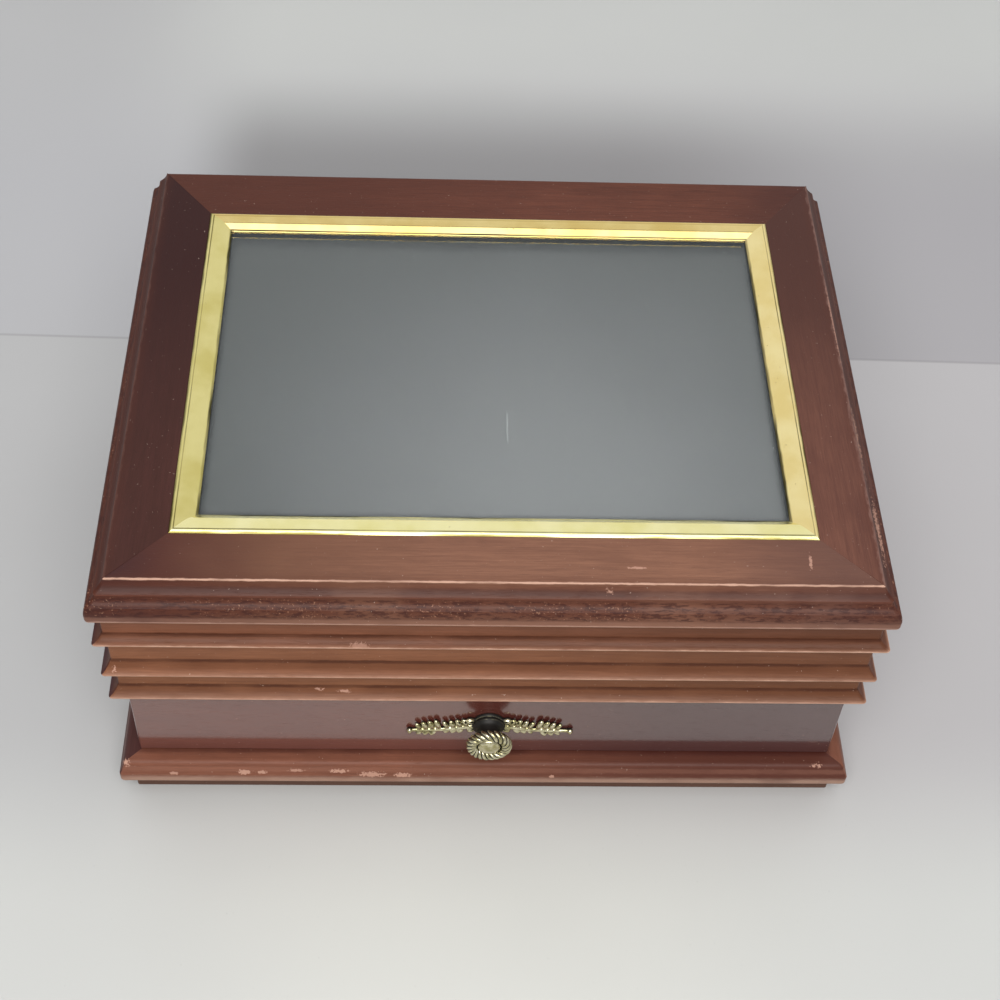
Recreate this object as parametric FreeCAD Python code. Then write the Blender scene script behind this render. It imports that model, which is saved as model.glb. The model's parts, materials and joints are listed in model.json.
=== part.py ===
import FreeCAD, Part

import math
import os

from FreeCAD import Vector

# Jewellery box with a hinged photo-frame lid and one drawer.
# Millimetres. X is to the right, Y to the back and Z up.
# The origin is the centre of the carcass on the surface that the box stands on.
# A profile is drawn as (p, z): p is how far it stands out from the carcass, z the height.

# Carcass and its heights, from the floor up
board = 8.0
plinth_height = 8.5
plinth_reach = 2.5
base_height = 9.1
drawer_bay_height = 35.2
lower_moulding_height = 12.7
middle_moulding_height = 15.8
top_moulding_height = 11.3
lid_gap = 0.3
lid_thickness = 13.6

# Base moulding
base_reach = 6.45
base_ledge_reach = 3.3
base_slope_reach = 5.2
base_slope_drop = 1.8
base_shoulder_bow = 0.35
base_band_height = 4.3
base_round = 1.5
runner_ledge = 9.0

# The moulding that runs in three rows round the upper carcass: a fillet that flares to a round nose
top_nose_reach = 5.65
nose_step_in = 0.5
nose_round = 1.1
flare_depth = 2.8
flare_bow = 0.45
lower_flare_height = 4.3
middle_flare_height = 5.2
top_flare_height = 3.2

# Lid rails and their moulded edge
side_rail_face = 16.4
back_rail_face = 20.0
side_brass_ledge = 3.05
long_brass_ledge = 3.6
edge_reach = 5.9
upper_cove_reach = 2.0
upper_cove_depth = 3.0
step_reach = 2.8
step_top_depth = 3.6
step_depth = 4.2
lower_cove_reach = 5.0
lower_cove_depth = 6.85
band_top_depth = 9.9
edge_round = 1.6
upper_cove_bow = 0.25
lower_cove_bow = 0.45
swell_bow = 0.12
back_arris = 0.8

# Photo window: a standard photo of 5 by 7 inches under glass
photo_width = 177.8
photo_depth = 127.0
photo_clearance = 0.5
glass_thickness = 2.0
insert_thickness = 0.6
backing_thickness = 3.0
lid_pad_clearance = 0.4
lid_pad_recess = 0.2
lid_pad_round = 2.5
brass_width = 7.6
brass_seat_depth = 1.5
brass_crown = 0.6
brass_crown_setback = 3.42
brass_outer_bow = 0.2
brass_inner_bow = 0.3
brass_edge_height = 0.5

# Turn buttons that hold the lid's padded panel
button_width = 7.0
button_throw = 7.0
button_thickness = 1.2
button_edge_clearance = 1.5
button_play = 0.05
button_screw_radius = 1.1
button_screw_length = 6.0
button_head_radius = 2.3
button_head_height = 0.9
button_lift = 0.05

# Hinges
hinge_inset = 46.85
hinge_length = 30.0
leaf_width = 7.0
leaf_thickness = 1.0
knuckle_radius = 1.8
knuckle_standoff = 0.1
knuckle_gap = 0.15
pin_radius = 0.8
pin_play = 0.05
pin_head_radius = 1.2
pin_head_height = 0.5
hinge_screw_spacing = 19.0
hinge_screw_radius = 1.0
hinge_screw_length = 7.0
hinge_screw_head_radius = 2.0

# Compartment under the lid
shelf_thickness = 3.0
shelf_rise = 2.2
groove_depth = 3.0
groove_clearance = 0.1
lining_thickness = 2.0
lining_drop = 2.0
floor_pad_thickness = 1.5
roll_count = 4
roll_width = 15.5
roll_height = 22.0
roll_crown = 6.0
soft_gap = 0.3
divider_thickness = 3.0
divider_height = 24.5

# Drawer
drawer_front_gap = 0.3
drawer_ledge_gap = 0.4
drawer_top_gap = 0.5
drawer_round = 0.6
drawer_side_clearance = 0.7
drawer_rear_clearance = 2.0
drawer_ride = 0.3
drawer_box_height = 32.0
drawer_wall = 6.0
drawer_bottom_thickness = 3.0
drawer_bottom_rise = 3.0
drawer_groove = 2.5
drawer_pad_thickness = 1.5

# Pull: knob with a rope rim on a leaf plate
knob_reach = 10.3
knob_neck_radius = 3.85
knob_foot_radius = 4.8
knob_foot_height = 0.9
knob_plate_seat = 1.3
knob_head_thickness = 2.6
knob_dish_radius = 3.4
knob_dome_height = 0.5
rope_ring_radius = 5.4
rope_ring_section = 1.75
rope_rim_facets = 4
rope_strands = 21
rope_groove_depth = 0.75
rope_twist = 42.0
rope_fall = 28.0
pull_screw_radius = 1.5
pull_screw_clearance = 0.1
pull_screw_grip = 5.0
pull_screw_head_radius = 3.0
pull_screw_head_height = 1.8
plate_span = 52.5
plate_boss_radius = 5.6
stem_radius = 0.85
stem_height_out = 0.8
stem_drop = 4.0
stem_sag = 1.2
ball_radius = 1.15
ball_crown_share = 0.5
leaf_pitch = 2.35
leaf_radius = 1.05
leaf_height = 0.85
leaf_root_share = 0.4
leaf_shoulder_share = 0.55
leaf_tip_share = 0.8
leaf_crown_share = 0.6
upper_leaf_length = 5.0
lower_leaf_length = 4.0
leaf_shrink = 0.12
upper_leaves_in_cluster = 4
lower_leaves_in_cluster = 3
inner_cluster_start = 7.0
outer_cluster_start = 15.2
leaf_lean = 28.0

# Screws, pins and small balls have this many flat sides, which keeps them light
small_round_sides = 12

# Levels and planes that follow from the sizes above. The photo sets the lid, and the lid the carcass.
opening_width = photo_width + 2 * photo_clearance
opening_depth = photo_depth + 2 * photo_clearance
top_width = opening_width + 2 * (side_brass_ledge + side_rail_face)
top_depth = opening_depth + 2 * long_brass_ledge + side_rail_face + back_rail_face
side_plane = top_width / 2
front_plane = -top_depth / 2
back_plane = top_depth / 2
base_top = plinth_height + base_height
bay_top = base_top + drawer_bay_height
lower_moulding_top = bay_top + lower_moulding_height
middle_moulding_top = lower_moulding_top + middle_moulding_height
rim = middle_moulding_top + top_moulding_height
lid_bottom = rim + lid_gap
lid_top = lid_bottom + lid_thickness
shelf_bottom = bay_top + shelf_rise
shelf_top = shelf_bottom + shelf_thickness
hinge_axis_y = back_plane + knuckle_radius + knuckle_standoff
hinge_axis_z = (rim + lid_bottom) / 2
window_half = opening_width / 2 + side_brass_ledge
window_front = front_plane + side_rail_face
window_back = back_plane - back_rail_face
window_centre = (window_front + window_back) / 2
opening_front = window_front + long_brass_ledge
opening_back = window_back - long_brass_ledge
button_setback = button_width / 2 + button_edge_clearance
hinge_centre = side_plane - hinge_inset
drawer_front_back = front_plane + board - drawer_front_gap
drawer_face_low = base_top + drawer_ledge_gap
drawer_face_high = bay_top - drawer_top_gap
plan_margin = 2.0
edge_pick = 0.01

parts = {}


def block(x_low, x_high, y_low, y_high, z_low, z_high):
    """Box between two corners."""
    return Part.makeBox(x_high - x_low, y_high - y_low, z_high - z_low, Vector(x_low, y_low, z_low))


def centred_block(width, y_low, y_high, z_low, z_high):
    """Box that is centred left to right."""
    return block(-width / 2, width / 2, y_low, y_high, z_low, z_high)


def mirrored(shape):
    """The same piece on the other side of the box."""
    return shape.mirror(Vector(0, 0, 0), Vector(1, 0, 0))


def section(start, steps):
    """Face in the XZ plane. A step of one point is a line to it, a step of two an arc through the first."""
    edges = []
    here = Vector(start[0], 0, start[1])
    for step in steps + [[start]]:
        points = [Vector(p, 0, z) for p, z in step]
        if len(points) == 1:
            edges.append(Part.LineSegment(here, points[0]).toShape())
        else:
            edges.append(Part.Arc(here, points[0], points[1]).toShape())
        here = points[-1]
    return Part.Face(Part.Wire(edges))


def bowed(start, end, bow):
    """Line to the start, then an arc to the end. Its middle lies off the chord by the bow, to its right."""
    run = end[0] - start[0]
    rise = end[1] - start[1]
    length = math.hypot(run, rise)
    middle = ((start[0] + end[0]) / 2 + bow * rise / length, (start[1] + end[1]) / 2 - bow * run / length)
    return [[start], [middle, end]]


def lower_round(reach, level, radius):
    """Line to the underside of a nose, then a quarter round up to its face."""
    inside = radius * (1 - math.sqrt(0.5))
    return [[(reach - radius, level)], [(reach - inside, level + inside), (reach, level + radius)]]


def flat_sided(rings):
    """Solid with flat faces through rings that have the same number of corners."""
    faces = [Part.Face(Part.makePolygon(ring + ring[:1])) for ring in (rings[0], rings[-1])]
    for near, far in zip(rings, rings[1:]):
        for i in range(len(near)):
            faces.append(Part.Face(Part.makePolygon([near[i - 1], near[i], far[i], far[i - 1], near[i - 1]])))
    shell = Part.makeShell(faces)
    shell.sewShape()
    solid = Part.makeSolid(shell)
    if solid.Volume < 0:
        solid.reverse()
    return solid


def small_round(base, axis, stations):
    """Small turned piece as a flat-sided solid. Each station is a distance along the axis and a radius."""
    first = Vector(axis.y, axis.z, axis.x)
    second = axis.cross(first)
    turns = [2 * math.pi * number / small_round_sides for number in range(small_round_sides)]
    rings = []
    for distance, radius in stations:
        centre = base + axis * distance
        rings.append([centre + (first * math.cos(turn) + second * math.sin(turn)) * radius for turn in turns])
    return flat_sided(rings)


def prism(corners, z_low, z_high):
    """Upright prism on a plan outline."""
    points = [Vector(x, y, z_low) for x, y in corners + corners[:1]]
    return Part.Face(Part.makePolygon(points)).extrude(Vector(0, 0, z_high - z_low))


def run_along_right(face, plane, y_low, y_high):
    """Length of moulding on a right-hand plane, standing out to the right."""
    run = face.extrude(Vector(0, y_high - y_low, 0))
    run.translate(Vector(plane, y_low, 0))
    return run


def run_along_front(face, plane, half_length):
    """Length of moulding on a front plane, standing out to the front."""
    turned = face.copy()
    turned.rotate(Vector(0, 0, 0), Vector(0, 0, 1), -90)
    turned.translate(Vector(-half_length, plane, 0))
    return turned.extrude(Vector(2 * half_length, 0, 0))


def run_along_back(face, plane, half_length):
    """Length of moulding on a back plane, standing out to the back."""
    turned = face.copy()
    turned.rotate(Vector(0, 0, 0), Vector(0, 0, 1), 90)
    turned.translate(Vector(-half_length, plane, 0))
    return turned.extrude(Vector(2 * half_length, 0, 0))


def mitred_surround(name, face, reach, inset):
    """Moulding on the front and both sides, mitred at the front corners and square at the back."""
    low = face.BoundBox.ZMin
    high = face.BoundBox.ZMax
    outer = side_plane + reach + plan_margin
    inner = side_plane - inset
    front_outer = front_plane - reach - plan_margin
    front_inner = front_plane + inset
    front_plan = [(-outer, front_outer), (outer, front_outer), (inner, front_inner), (-inner, front_inner)]
    side_plan = [(outer, front_outer), (outer, back_plane), (inner, back_plane), (inner, front_inner)]
    front_piece = run_along_front(face, front_plane, outer).common(prism(front_plan, low, high))
    side_run = run_along_right(face, side_plane, front_outer, back_plane)
    side_piece = side_run.common(prism(side_plan, low, high))
    parts[name + "_front"] = front_piece
    parts[name + "_right"] = side_piece
    parts[name + "_left"] = mirrored(side_piece)


def case_moulding_section(z_low, z_high, nose_reach, flare_height):
    """Tall fillet that flares out at its foot to a rounded nose."""
    fillet = nose_reach - flare_depth
    nose = lower_round(nose_reach, z_low, nose_round)
    flare = bowed(nose[-1][-1], (fillet, z_low + flare_height), -flare_bow)
    return section((0, z_low), nose + flare[1:] + [[(fillet, z_high)], [(0, z_high)]])


def base_moulding_section():
    """Flat ledge, rounded shoulder, sloping face and upright band."""
    slope_top = (base_slope_reach, base_top - base_slope_drop)
    inner = -(board + runner_ledge)
    return section(
        (inner, plinth_height),
        lower_round(base_reach, plinth_height, base_round)
        + [[(base_reach, plinth_height + base_band_height)]]
        + bowed(slope_top, (base_ledge_reach, base_top), base_shoulder_bow)
        + [[(inner, base_top)]],
    )


def lid_rail_inner_steps(face_width, ledge):
    """Underside, opening wall and the ledge for the brass, back to the top face."""
    seat = lid_top - brass_seat_depth
    return [
        [(-face_width - ledge, lid_bottom)],
        [(-face_width - ledge, seat)],
        [(-face_width, seat)],
        [(-face_width, lid_top)],
    ]


def lid_edge_section(face_width, ledge):
    """Rail with the moulded edge: cove, step, second cove and a rounded band."""
    start = (0, lid_top)
    cove_end = (upper_cove_reach, lid_top - upper_cove_depth)
    step_foot = (step_reach, lid_top - step_depth)
    swell_top = (lower_cove_reach, lid_top - lower_cove_depth)
    band_top = (edge_reach, lid_top - band_top_depth)
    return section(
        start,
        bowed(start, cove_end, upper_cove_bow)[1:]
        + [[(step_reach, lid_top - step_top_depth)]]
        + bowed(step_foot, swell_top, lower_cove_bow)
        + bowed(swell_top, band_top, -swell_bow)[1:]
        + band_round()
        + lid_rail_inner_steps(face_width, ledge),
    )


def band_round():
    """The band's upright face and the quarter round under it."""
    inside = edge_round * (1 - math.sqrt(0.5))
    round_middle = (edge_reach - inside, lid_bottom + inside)
    return [[(edge_reach, lid_bottom + edge_round)], [round_middle, (edge_reach - edge_round, lid_bottom)]]


def lid_back_section(ledge):
    """Back rail: plain, with its top edge rounded."""
    inside = back_arris * (1 - math.sqrt(0.5))
    return section(
        (-back_arris, lid_top),
        [
            [(-inside, lid_top - inside), (0, lid_top - back_arris)],
            [(0, lid_bottom)],
        ]
        + lid_rail_inner_steps(back_rail_face, ledge),
    )


def make_plinth_and_base():
    """Bottom board and the mitred base moulding, whose inner ledge carries the drawer."""
    width = top_width + 2 * plinth_reach
    parts["bottom_board"] = centred_block(width, front_plane - plinth_reach, back_plane, 0, plinth_height)
    mitred_surround("base_moulding", base_moulding_section(), base_reach, board + runner_ledge)
    behind = back_plane - board
    room_for_back = block(-side_plane, side_plane, behind, back_plane, plinth_height, base_top)
    for side in ("left", "right"):
        name = "base_moulding_" + side
        parts[name] = parts[name].cut(room_for_back)


def make_carcass():
    """Front, back and side boards, grooved for the shelf between the compartment and the drawer."""
    shelf_half = side_plane - board + groove_depth
    shelf_front = front_plane + board - groove_depth
    shelf_back = back_plane - board + groove_depth
    groove = block(-shelf_half, shelf_half, shelf_front, shelf_back, shelf_bottom, shelf_top)
    front_board = centred_block(top_width, front_plane, front_plane + board, bay_top, rim)
    back_board = centred_block(top_width, back_plane - board, back_plane, plinth_height, rim)
    side_board = block(side_plane - board, side_plane, front_plane + board, back_plane - board, base_top, rim)
    parts["front_board"] = front_board.cut(groove)
    parts["back_board"] = back_board.cut(groove)
    parts["side_board_right"] = side_board.cut(groove)
    parts["side_board_left"] = mirrored(parts["side_board_right"])
    parts["compartment_shelf"] = block(
        -shelf_half + groove_clearance,
        shelf_half - groove_clearance,
        shelf_front + groove_clearance,
        shelf_back - groove_clearance,
        shelf_bottom,
        shelf_top,
    )


def make_case_mouldings():
    """Three rows of the same moulding, each lower one standing out a little less."""
    rows = [
        ("top_moulding", middle_moulding_top, rim, top_flare_height),
        ("middle_moulding", lower_moulding_top, middle_moulding_top, middle_flare_height),
        ("lower_moulding", bay_top, lower_moulding_top, lower_flare_height),
    ]
    for row, (name, z_low, z_high, flare_height) in enumerate(rows):
        reach = top_nose_reach - row * nose_step_in
        mitred_surround(name, case_moulding_section(z_low, z_high, reach, flare_height), reach, plan_margin)


def make_compartment():
    """Lining, floor pad, ring rolls and dividers under the lid."""
    inner_half = side_plane - board
    inner_front = front_plane + board
    inner_back = back_plane - board
    lining_top = rim - lining_drop
    room_half = inner_half - lining_thickness
    end_wall = block(room_half, inner_half, inner_front, inner_back, shelf_top, lining_top)
    parts["lining_end_walls"] = Part.makeCompound([end_wall, mirrored(end_wall)])
    room_front = inner_front + lining_thickness
    room_back = inner_back - lining_thickness
    front_wall = centred_block(2 * room_half, inner_front, room_front, shelf_top, lining_top)
    back_wall = centred_block(2 * room_half, room_back, inner_back, shelf_top, lining_top)
    parts["lining_long_walls"] = Part.makeCompound([front_wall, back_wall])
    floor = shelf_top + floor_pad_thickness
    parts["compartment_floor_pad"] = centred_block(2 * room_half, room_front, room_back, shelf_top, floor)

    roll_front = room_front + soft_gap
    roll_length = room_back - soft_gap - roll_front
    crown_spring = floor + roll_height - roll_crown
    for number in range(roll_count):
        left = -room_half + soft_gap + number * (roll_width + soft_gap)
        face = section(
            (left, floor),
            [
                [(left + roll_width, floor)],
                [(left + roll_width, crown_spring)],
                [(left + roll_width / 2, floor + roll_height), (left, crown_spring)],
            ],
        )
        roll = face.extrude(Vector(0, roll_length, 0))
        roll.translate(Vector(0, roll_front, 0))
        parts["ring_roll_%d" % (number + 1)] = roll

    divider_left = -room_half + soft_gap + roll_count * (roll_width + soft_gap)
    divider_right = divider_left + divider_thickness
    divider_top = floor + divider_height
    middle = (room_front + room_back) / 2
    half = divider_thickness / 2
    parts["divider_rings"] = block(divider_left, divider_right, room_front, room_back, floor, divider_top)
    parts["divider_cross"] = block(divider_right, room_half, middle - half, middle + half, floor, divider_top)


def lid_plans():
    """Plan outlines of the front, back and right-hand rails, mitred at the corners of the lid."""
    outer = side_plane + edge_reach + plan_margin
    front_outer = front_plane - edge_reach - plan_margin
    front_mitre = [(window_half, window_front), (opening_width / 2, opening_front)]
    back_mitre = [(window_half, window_back), (opening_width / 2, opening_back)]
    front_half = [(outer, front_outer)] + front_mitre
    back_half = [(side_plane, back_plane)] + back_mitre
    front = front_half + [(-x, y) for x, y in reversed(front_half)]
    back = back_half + [(-x, y) for x, y in reversed(back_half)]
    right = front_half + list(reversed(back_half)) + [(outer, back_plane)]
    return front, back, right


def make_lid_rails():
    """Four mitred rails round the photo window."""
    front_plan, back_plan, right_plan = lid_plans()
    outer = side_plane + edge_reach + plan_margin
    front_face = lid_edge_section(side_rail_face, long_brass_ledge)
    side_face = lid_edge_section(side_rail_face, side_brass_ledge)
    back_face = lid_back_section(long_brass_ledge)
    front_run = run_along_front(front_face, front_plane, outer)
    side_run = run_along_right(side_face, side_plane, front_plane - edge_reach - plan_margin, back_plane)
    back_run = run_along_back(back_face, back_plane, outer)
    parts["lid_rail_front"] = front_run.common(prism(front_plan, lid_bottom, lid_top))
    parts["lid_rail_right"] = side_run.common(prism(right_plan, lid_bottom, lid_top))
    parts["lid_rail_left"] = mirrored(parts["lid_rail_right"])
    parts["lid_rail_back"] = back_run.common(prism(back_plan, lid_bottom, lid_top))


def make_brass_strips():
    """Low half-round strips with mitred corners that hold the glass down."""
    seat = lid_top - brass_seat_depth
    edge = seat + brass_edge_height
    crown = lid_top + brass_crown
    crest = (-brass_crown_setback, crown)
    face = section(
        (-brass_width, seat),
        [[(0, seat)]]
        + bowed((0, lid_top), crest, brass_outer_bow)
        + bowed(crest, (-brass_width, edge), brass_inner_bow)[1:],
    )
    inner = window_half - brass_width
    inner_front = window_front + brass_width
    inner_back = window_back - brass_width
    front_plan = [(-window_half, window_front), (window_half, window_front)]
    front_plan += [(inner, inner_front), (-inner, inner_front)]
    back_plan = [(-window_half, window_back), (window_half, window_back)]
    back_plan += [(inner, inner_back), (-inner, inner_back)]
    right_plan = [(window_half, window_front), (window_half, window_back)]
    right_plan += [(inner, inner_back), (inner, inner_front)]
    front_run = run_along_front(face, window_front, window_half)
    back_run = run_along_back(face, window_back, window_half)
    right_run = run_along_right(face, window_half, window_front, window_back)
    parts["brass_strip_front"] = front_run.common(prism(front_plan, seat, crown))
    parts["brass_strip_back"] = back_run.common(prism(back_plan, seat, crown))
    parts["brass_strip_right"] = right_run.common(prism(right_plan, seat, crown))
    parts["brass_strip_left"] = mirrored(parts["brass_strip_right"])


def make_window_stack():
    """Glass, grey insert, backing board and the padded panel, pushed in from below."""
    front = window_centre - photo_depth / 2
    back = window_centre + photo_depth / 2
    glass_top = lid_top - brass_seat_depth
    glass_bottom = glass_top - glass_thickness
    insert_bottom = glass_bottom - insert_thickness
    backing_bottom = insert_bottom - backing_thickness
    parts["window_glass"] = centred_block(photo_width, front, back, glass_bottom, glass_top)
    parts["photo_insert"] = centred_block(photo_width, front, back, insert_bottom, glass_bottom)
    parts["backing_board"] = centred_block(photo_width, front, back, backing_bottom, insert_bottom)
    panel_low = lid_bottom + lid_pad_recess
    panel = centred_block(
        opening_width - 2 * lid_pad_clearance,
        opening_front + lid_pad_clearance,
        opening_back - lid_pad_clearance,
        panel_low,
        backing_bottom,
    )
    lower_edges = [edge for edge in panel.Edges if edge.BoundBox.ZMax < panel_low + edge_pick]
    parts["lid_padded_panel"] = panel.makeFillet(lid_pad_round, lower_edges)


def button_places():
    """Name, pivot and inward direction of each turn button, on the underside of the rails."""
    side_pivot = opening_width / 2 + button_setback
    return [
        ("front", 0, opening_front - button_setback, 0, 1),
        ("right", side_pivot, window_centre, -1, 0),
        ("back", 0, opening_back + button_setback, 0, -1),
        ("left", -side_pivot, window_centre, 1, 0),
    ]


def make_turn_buttons():
    """Brass buttons on their screws, each pointing in over the padded panel."""
    radius = button_width / 2
    high = lid_bottom - button_lift
    low = high - button_thickness
    up = Vector(0, 0, 1)
    screws = []
    for name, x, y, inward_x, inward_y in button_places():
        tip = Vector(x + inward_x * button_throw, y + inward_y * button_throw, low)
        across = Vector(-inward_y * radius, inward_x * radius, 0)
        pivot = Vector(x, y, low)
        corners = [pivot + across, tip + across, tip - across, pivot - across]
        bar = prism([(corner.x, corner.y) for corner in corners], low, high)
        bar = bar.fuse(Part.makeCylinder(radius, button_thickness, pivot, up))
        bar = bar.fuse(Part.makeCylinder(radius, button_thickness, tip, up))
        hole_radius = button_screw_radius + button_play
        hole = small_round(pivot, up, [(0, hole_radius), (button_thickness, hole_radius)])
        parts["turn_button_" + name] = bar.cut(hole).removeSplitter()
        head_top = button_head_height
        shank_top = head_top + 2 * button_lift + button_thickness + button_screw_length
        stations = [
            (0, button_head_radius - button_head_height / 2),
            (button_head_height / 2, button_head_radius),
            (head_top, button_head_radius),
            (head_top, button_screw_radius),
            (shank_top, button_screw_radius),
        ]
        screws.append(small_round(Vector(x, y, low - button_lift - head_top), up, stations))
    parts["turn_button_screws"] = Part.makeCompound(screws)
    for side in ("front", "right", "back", "left"):
        rail = "lid_rail_" + side
        parts[rail] = parts[rail].cut(parts["turn_button_screws"])


def tube_along_x(radius, x_low, x_high):
    """Round bar on the hinge axis."""
    start = Vector(x_low, hinge_axis_y, hinge_axis_z)
    return Part.makeCylinder(radius, x_high - x_low, start, Vector(1, 0, 0))


def hinge_screw(x, y, face_z, into):
    """Countersunk screw: its head is flush with the leaf and its shank points into the wood."""
    stations = [
        (0, hinge_screw_head_radius),
        (leaf_thickness, hinge_screw_radius),
        (hinge_screw_length, hinge_screw_radius),
    ]
    return small_round(Vector(x, y, face_z), Vector(0, 0, into), stations)


def hinge_pin(low, high):
    """Pin on the hinge axis with a small head at each end."""
    stations = [
        (-pin_head_height, pin_head_radius),
        (0, pin_head_radius),
        (0, pin_radius),
        (high - low, pin_radius),
        (high - low, pin_head_radius),
        (high - low + pin_head_height, pin_head_radius),
    ]
    return small_round(Vector(low, hinge_axis_y, hinge_axis_z), Vector(1, 0, 0), stations)


def make_hinges():
    """Two butt hinges let into the back board and the lid's back rail."""
    third = hinge_length / 3
    leaf_inner = back_plane - leaf_width
    screw_y = back_plane - leaf_width / 2
    case_screws = []
    lid_screws = []
    pins = []
    for side, centre in (("left", -hinge_centre), ("right", hinge_centre)):
        low = centre - hinge_length / 2
        high = centre + hinge_length / 2
        gap = knuckle_gap / 2
        outer_spans = [(low, low + third - gap), (high - third + gap, high)]
        middle_span = (low + third + gap, high - third - gap)
        middle_room = tube_along_x(knuckle_radius + knuckle_standoff, low + third - gap, high - third + gap)
        case_leaf = block(low, high, leaf_inner, back_plane, rim - leaf_thickness, rim)
        lid_leaf = block(low, high, leaf_inner, back_plane, lid_bottom, lid_bottom + leaf_thickness)
        parts["back_board"] = parts["back_board"].cut(case_leaf)
        parts["lid_rail_back"] = parts["lid_rail_back"].cut(lid_leaf)
        for start, end in outer_spans:
            web = block(start, end, back_plane, hinge_axis_y, rim - leaf_thickness, rim)
            case_leaf = case_leaf.fuse([web, tube_along_x(knuckle_radius, start, end)])
        web = block(*middle_span, back_plane, hinge_axis_y, lid_bottom, lid_bottom + leaf_thickness)
        lid_leaf = lid_leaf.fuse([web, tube_along_x(knuckle_radius, *middle_span)])
        case_leaf = case_leaf.cut(middle_room)
        for start, end in outer_spans:
            room = tube_along_x(knuckle_radius + knuckle_standoff, start - knuckle_gap, end + knuckle_gap)
            lid_leaf = lid_leaf.cut(room)
        pin = hinge_pin(low, high)
        case_leaf = case_leaf.cut(pin)
        lid_leaf = lid_leaf.cut(tube_along_x(pin_radius + pin_play, low, high))
        pins.append(pin)
        for offset in (-hinge_screw_spacing / 2, hinge_screw_spacing / 2):
            case_screws.append(hinge_screw(centre + offset, screw_y, rim, -1))
            lid_screws.append(hinge_screw(centre + offset, screw_y, lid_bottom, 1))
        parts["hinge_leaf_case_" + side] = case_leaf.cut(Part.makeCompound(case_screws)).removeSplitter()
        parts["hinge_leaf_lid_" + side] = lid_leaf.cut(Part.makeCompound(lid_screws)).removeSplitter()
    parts["hinge_pins"] = Part.makeCompound(pins)
    parts["hinge_screws_case"] = Part.makeCompound(case_screws)
    parts["hinge_screws_lid"] = Part.makeCompound(lid_screws)
    parts["back_board"] = parts["back_board"].cut(parts["hinge_screws_case"])
    parts["lid_rail_back"] = parts["lid_rail_back"].cut(parts["hinge_screws_lid"])


def make_drawer():
    """Full-width drawer front on a grooved box with a lined bottom."""
    front = centred_block(top_width, front_plane, drawer_front_back, drawer_face_low, drawer_face_high)
    outline_edges = [edge for edge in front.Edges if edge.BoundBox.YMax < front_plane + edge_pick]
    front = front.makeFillet(drawer_round, outline_edges)

    box_half = side_plane - board - drawer_side_clearance
    box_low = base_top + drawer_ride
    box_high = box_low + drawer_box_height
    box_back = back_plane - board - drawer_rear_clearance
    inner_half = box_half - drawer_wall
    side = block(inner_half, box_half, drawer_front_back, box_back, box_low, box_high)
    back = centred_block(2 * inner_half, box_back - drawer_wall, box_back, box_low, box_high)
    bottom_low = box_low + drawer_bottom_rise
    bottom_high = bottom_low + drawer_bottom_thickness
    bottom = centred_block(
        2 * (inner_half + drawer_groove),
        drawer_front_back - drawer_groove,
        box_back - drawer_wall + drawer_groove,
        bottom_low,
        bottom_high,
    )
    pad_high = bottom_high + drawer_pad_thickness
    side = side.cut(bottom)
    parts["drawer_front"] = front.cut(bottom)
    parts["drawer_side_right"] = side
    parts["drawer_side_left"] = mirrored(side)
    parts["drawer_back"] = back.cut(bottom)
    parts["drawer_bottom"] = bottom
    parts["drawer_pad"] = centred_block(
        2 * inner_half, drawer_front_back, box_back - drawer_wall, bottom_high, pad_high
    )


def on_drawer_face(shape):
    """Moves a piece drawn with Z outwards to the middle of the drawer front."""
    shape.rotate(Vector(0, 0, 0), Vector(1, 0, 0), 90)
    shape.translate(Vector(0, front_plane, (drawer_face_low + drawer_face_high) / 2))
    return shape


def leaf_lobe(length, radius, base, angle):
    """Faceted leaf lobe lying at an angle: narrow at its root, widest near its blunt tip."""
    stations = [(0, leaf_root_share), (leaf_shoulder_share, 1), (leaf_tip_share, 1), (1, leaf_shoulder_share)]
    rings = []
    for along, swell in stations:
        half = radius * swell
        crown = half * leaf_crown_share
        height = leaf_height * swell
        corners = [(-half, 0), (-crown, height), (crown, height), (half, 0)]
        rings.append([Vector(along * length, across, up) for across, up in corners])
    lobe = flat_sided(rings)
    lobe.rotate(Vector(0, 0, 0), Vector(0, 0, 1), angle)
    lobe.translate(Vector(base[0], base[1], 0))
    return lobe


def stem_height(distance):
    """Height of the stem's centre line below the knob's axis, at a distance from it."""
    end = plate_span / 2 - ball_radius
    share = distance / end
    return -stem_drop * share - stem_sag * math.sin(math.pi * share)


def pull_screw_hole(low, high):
    """Clearance hole for the pull's screw, on the knob's axis."""
    radius = pull_screw_radius + pull_screw_clearance
    return small_round(Vector(0, 0, low), Vector(0, 0, 1), [(0, radius), (high - low, radius)])


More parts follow.
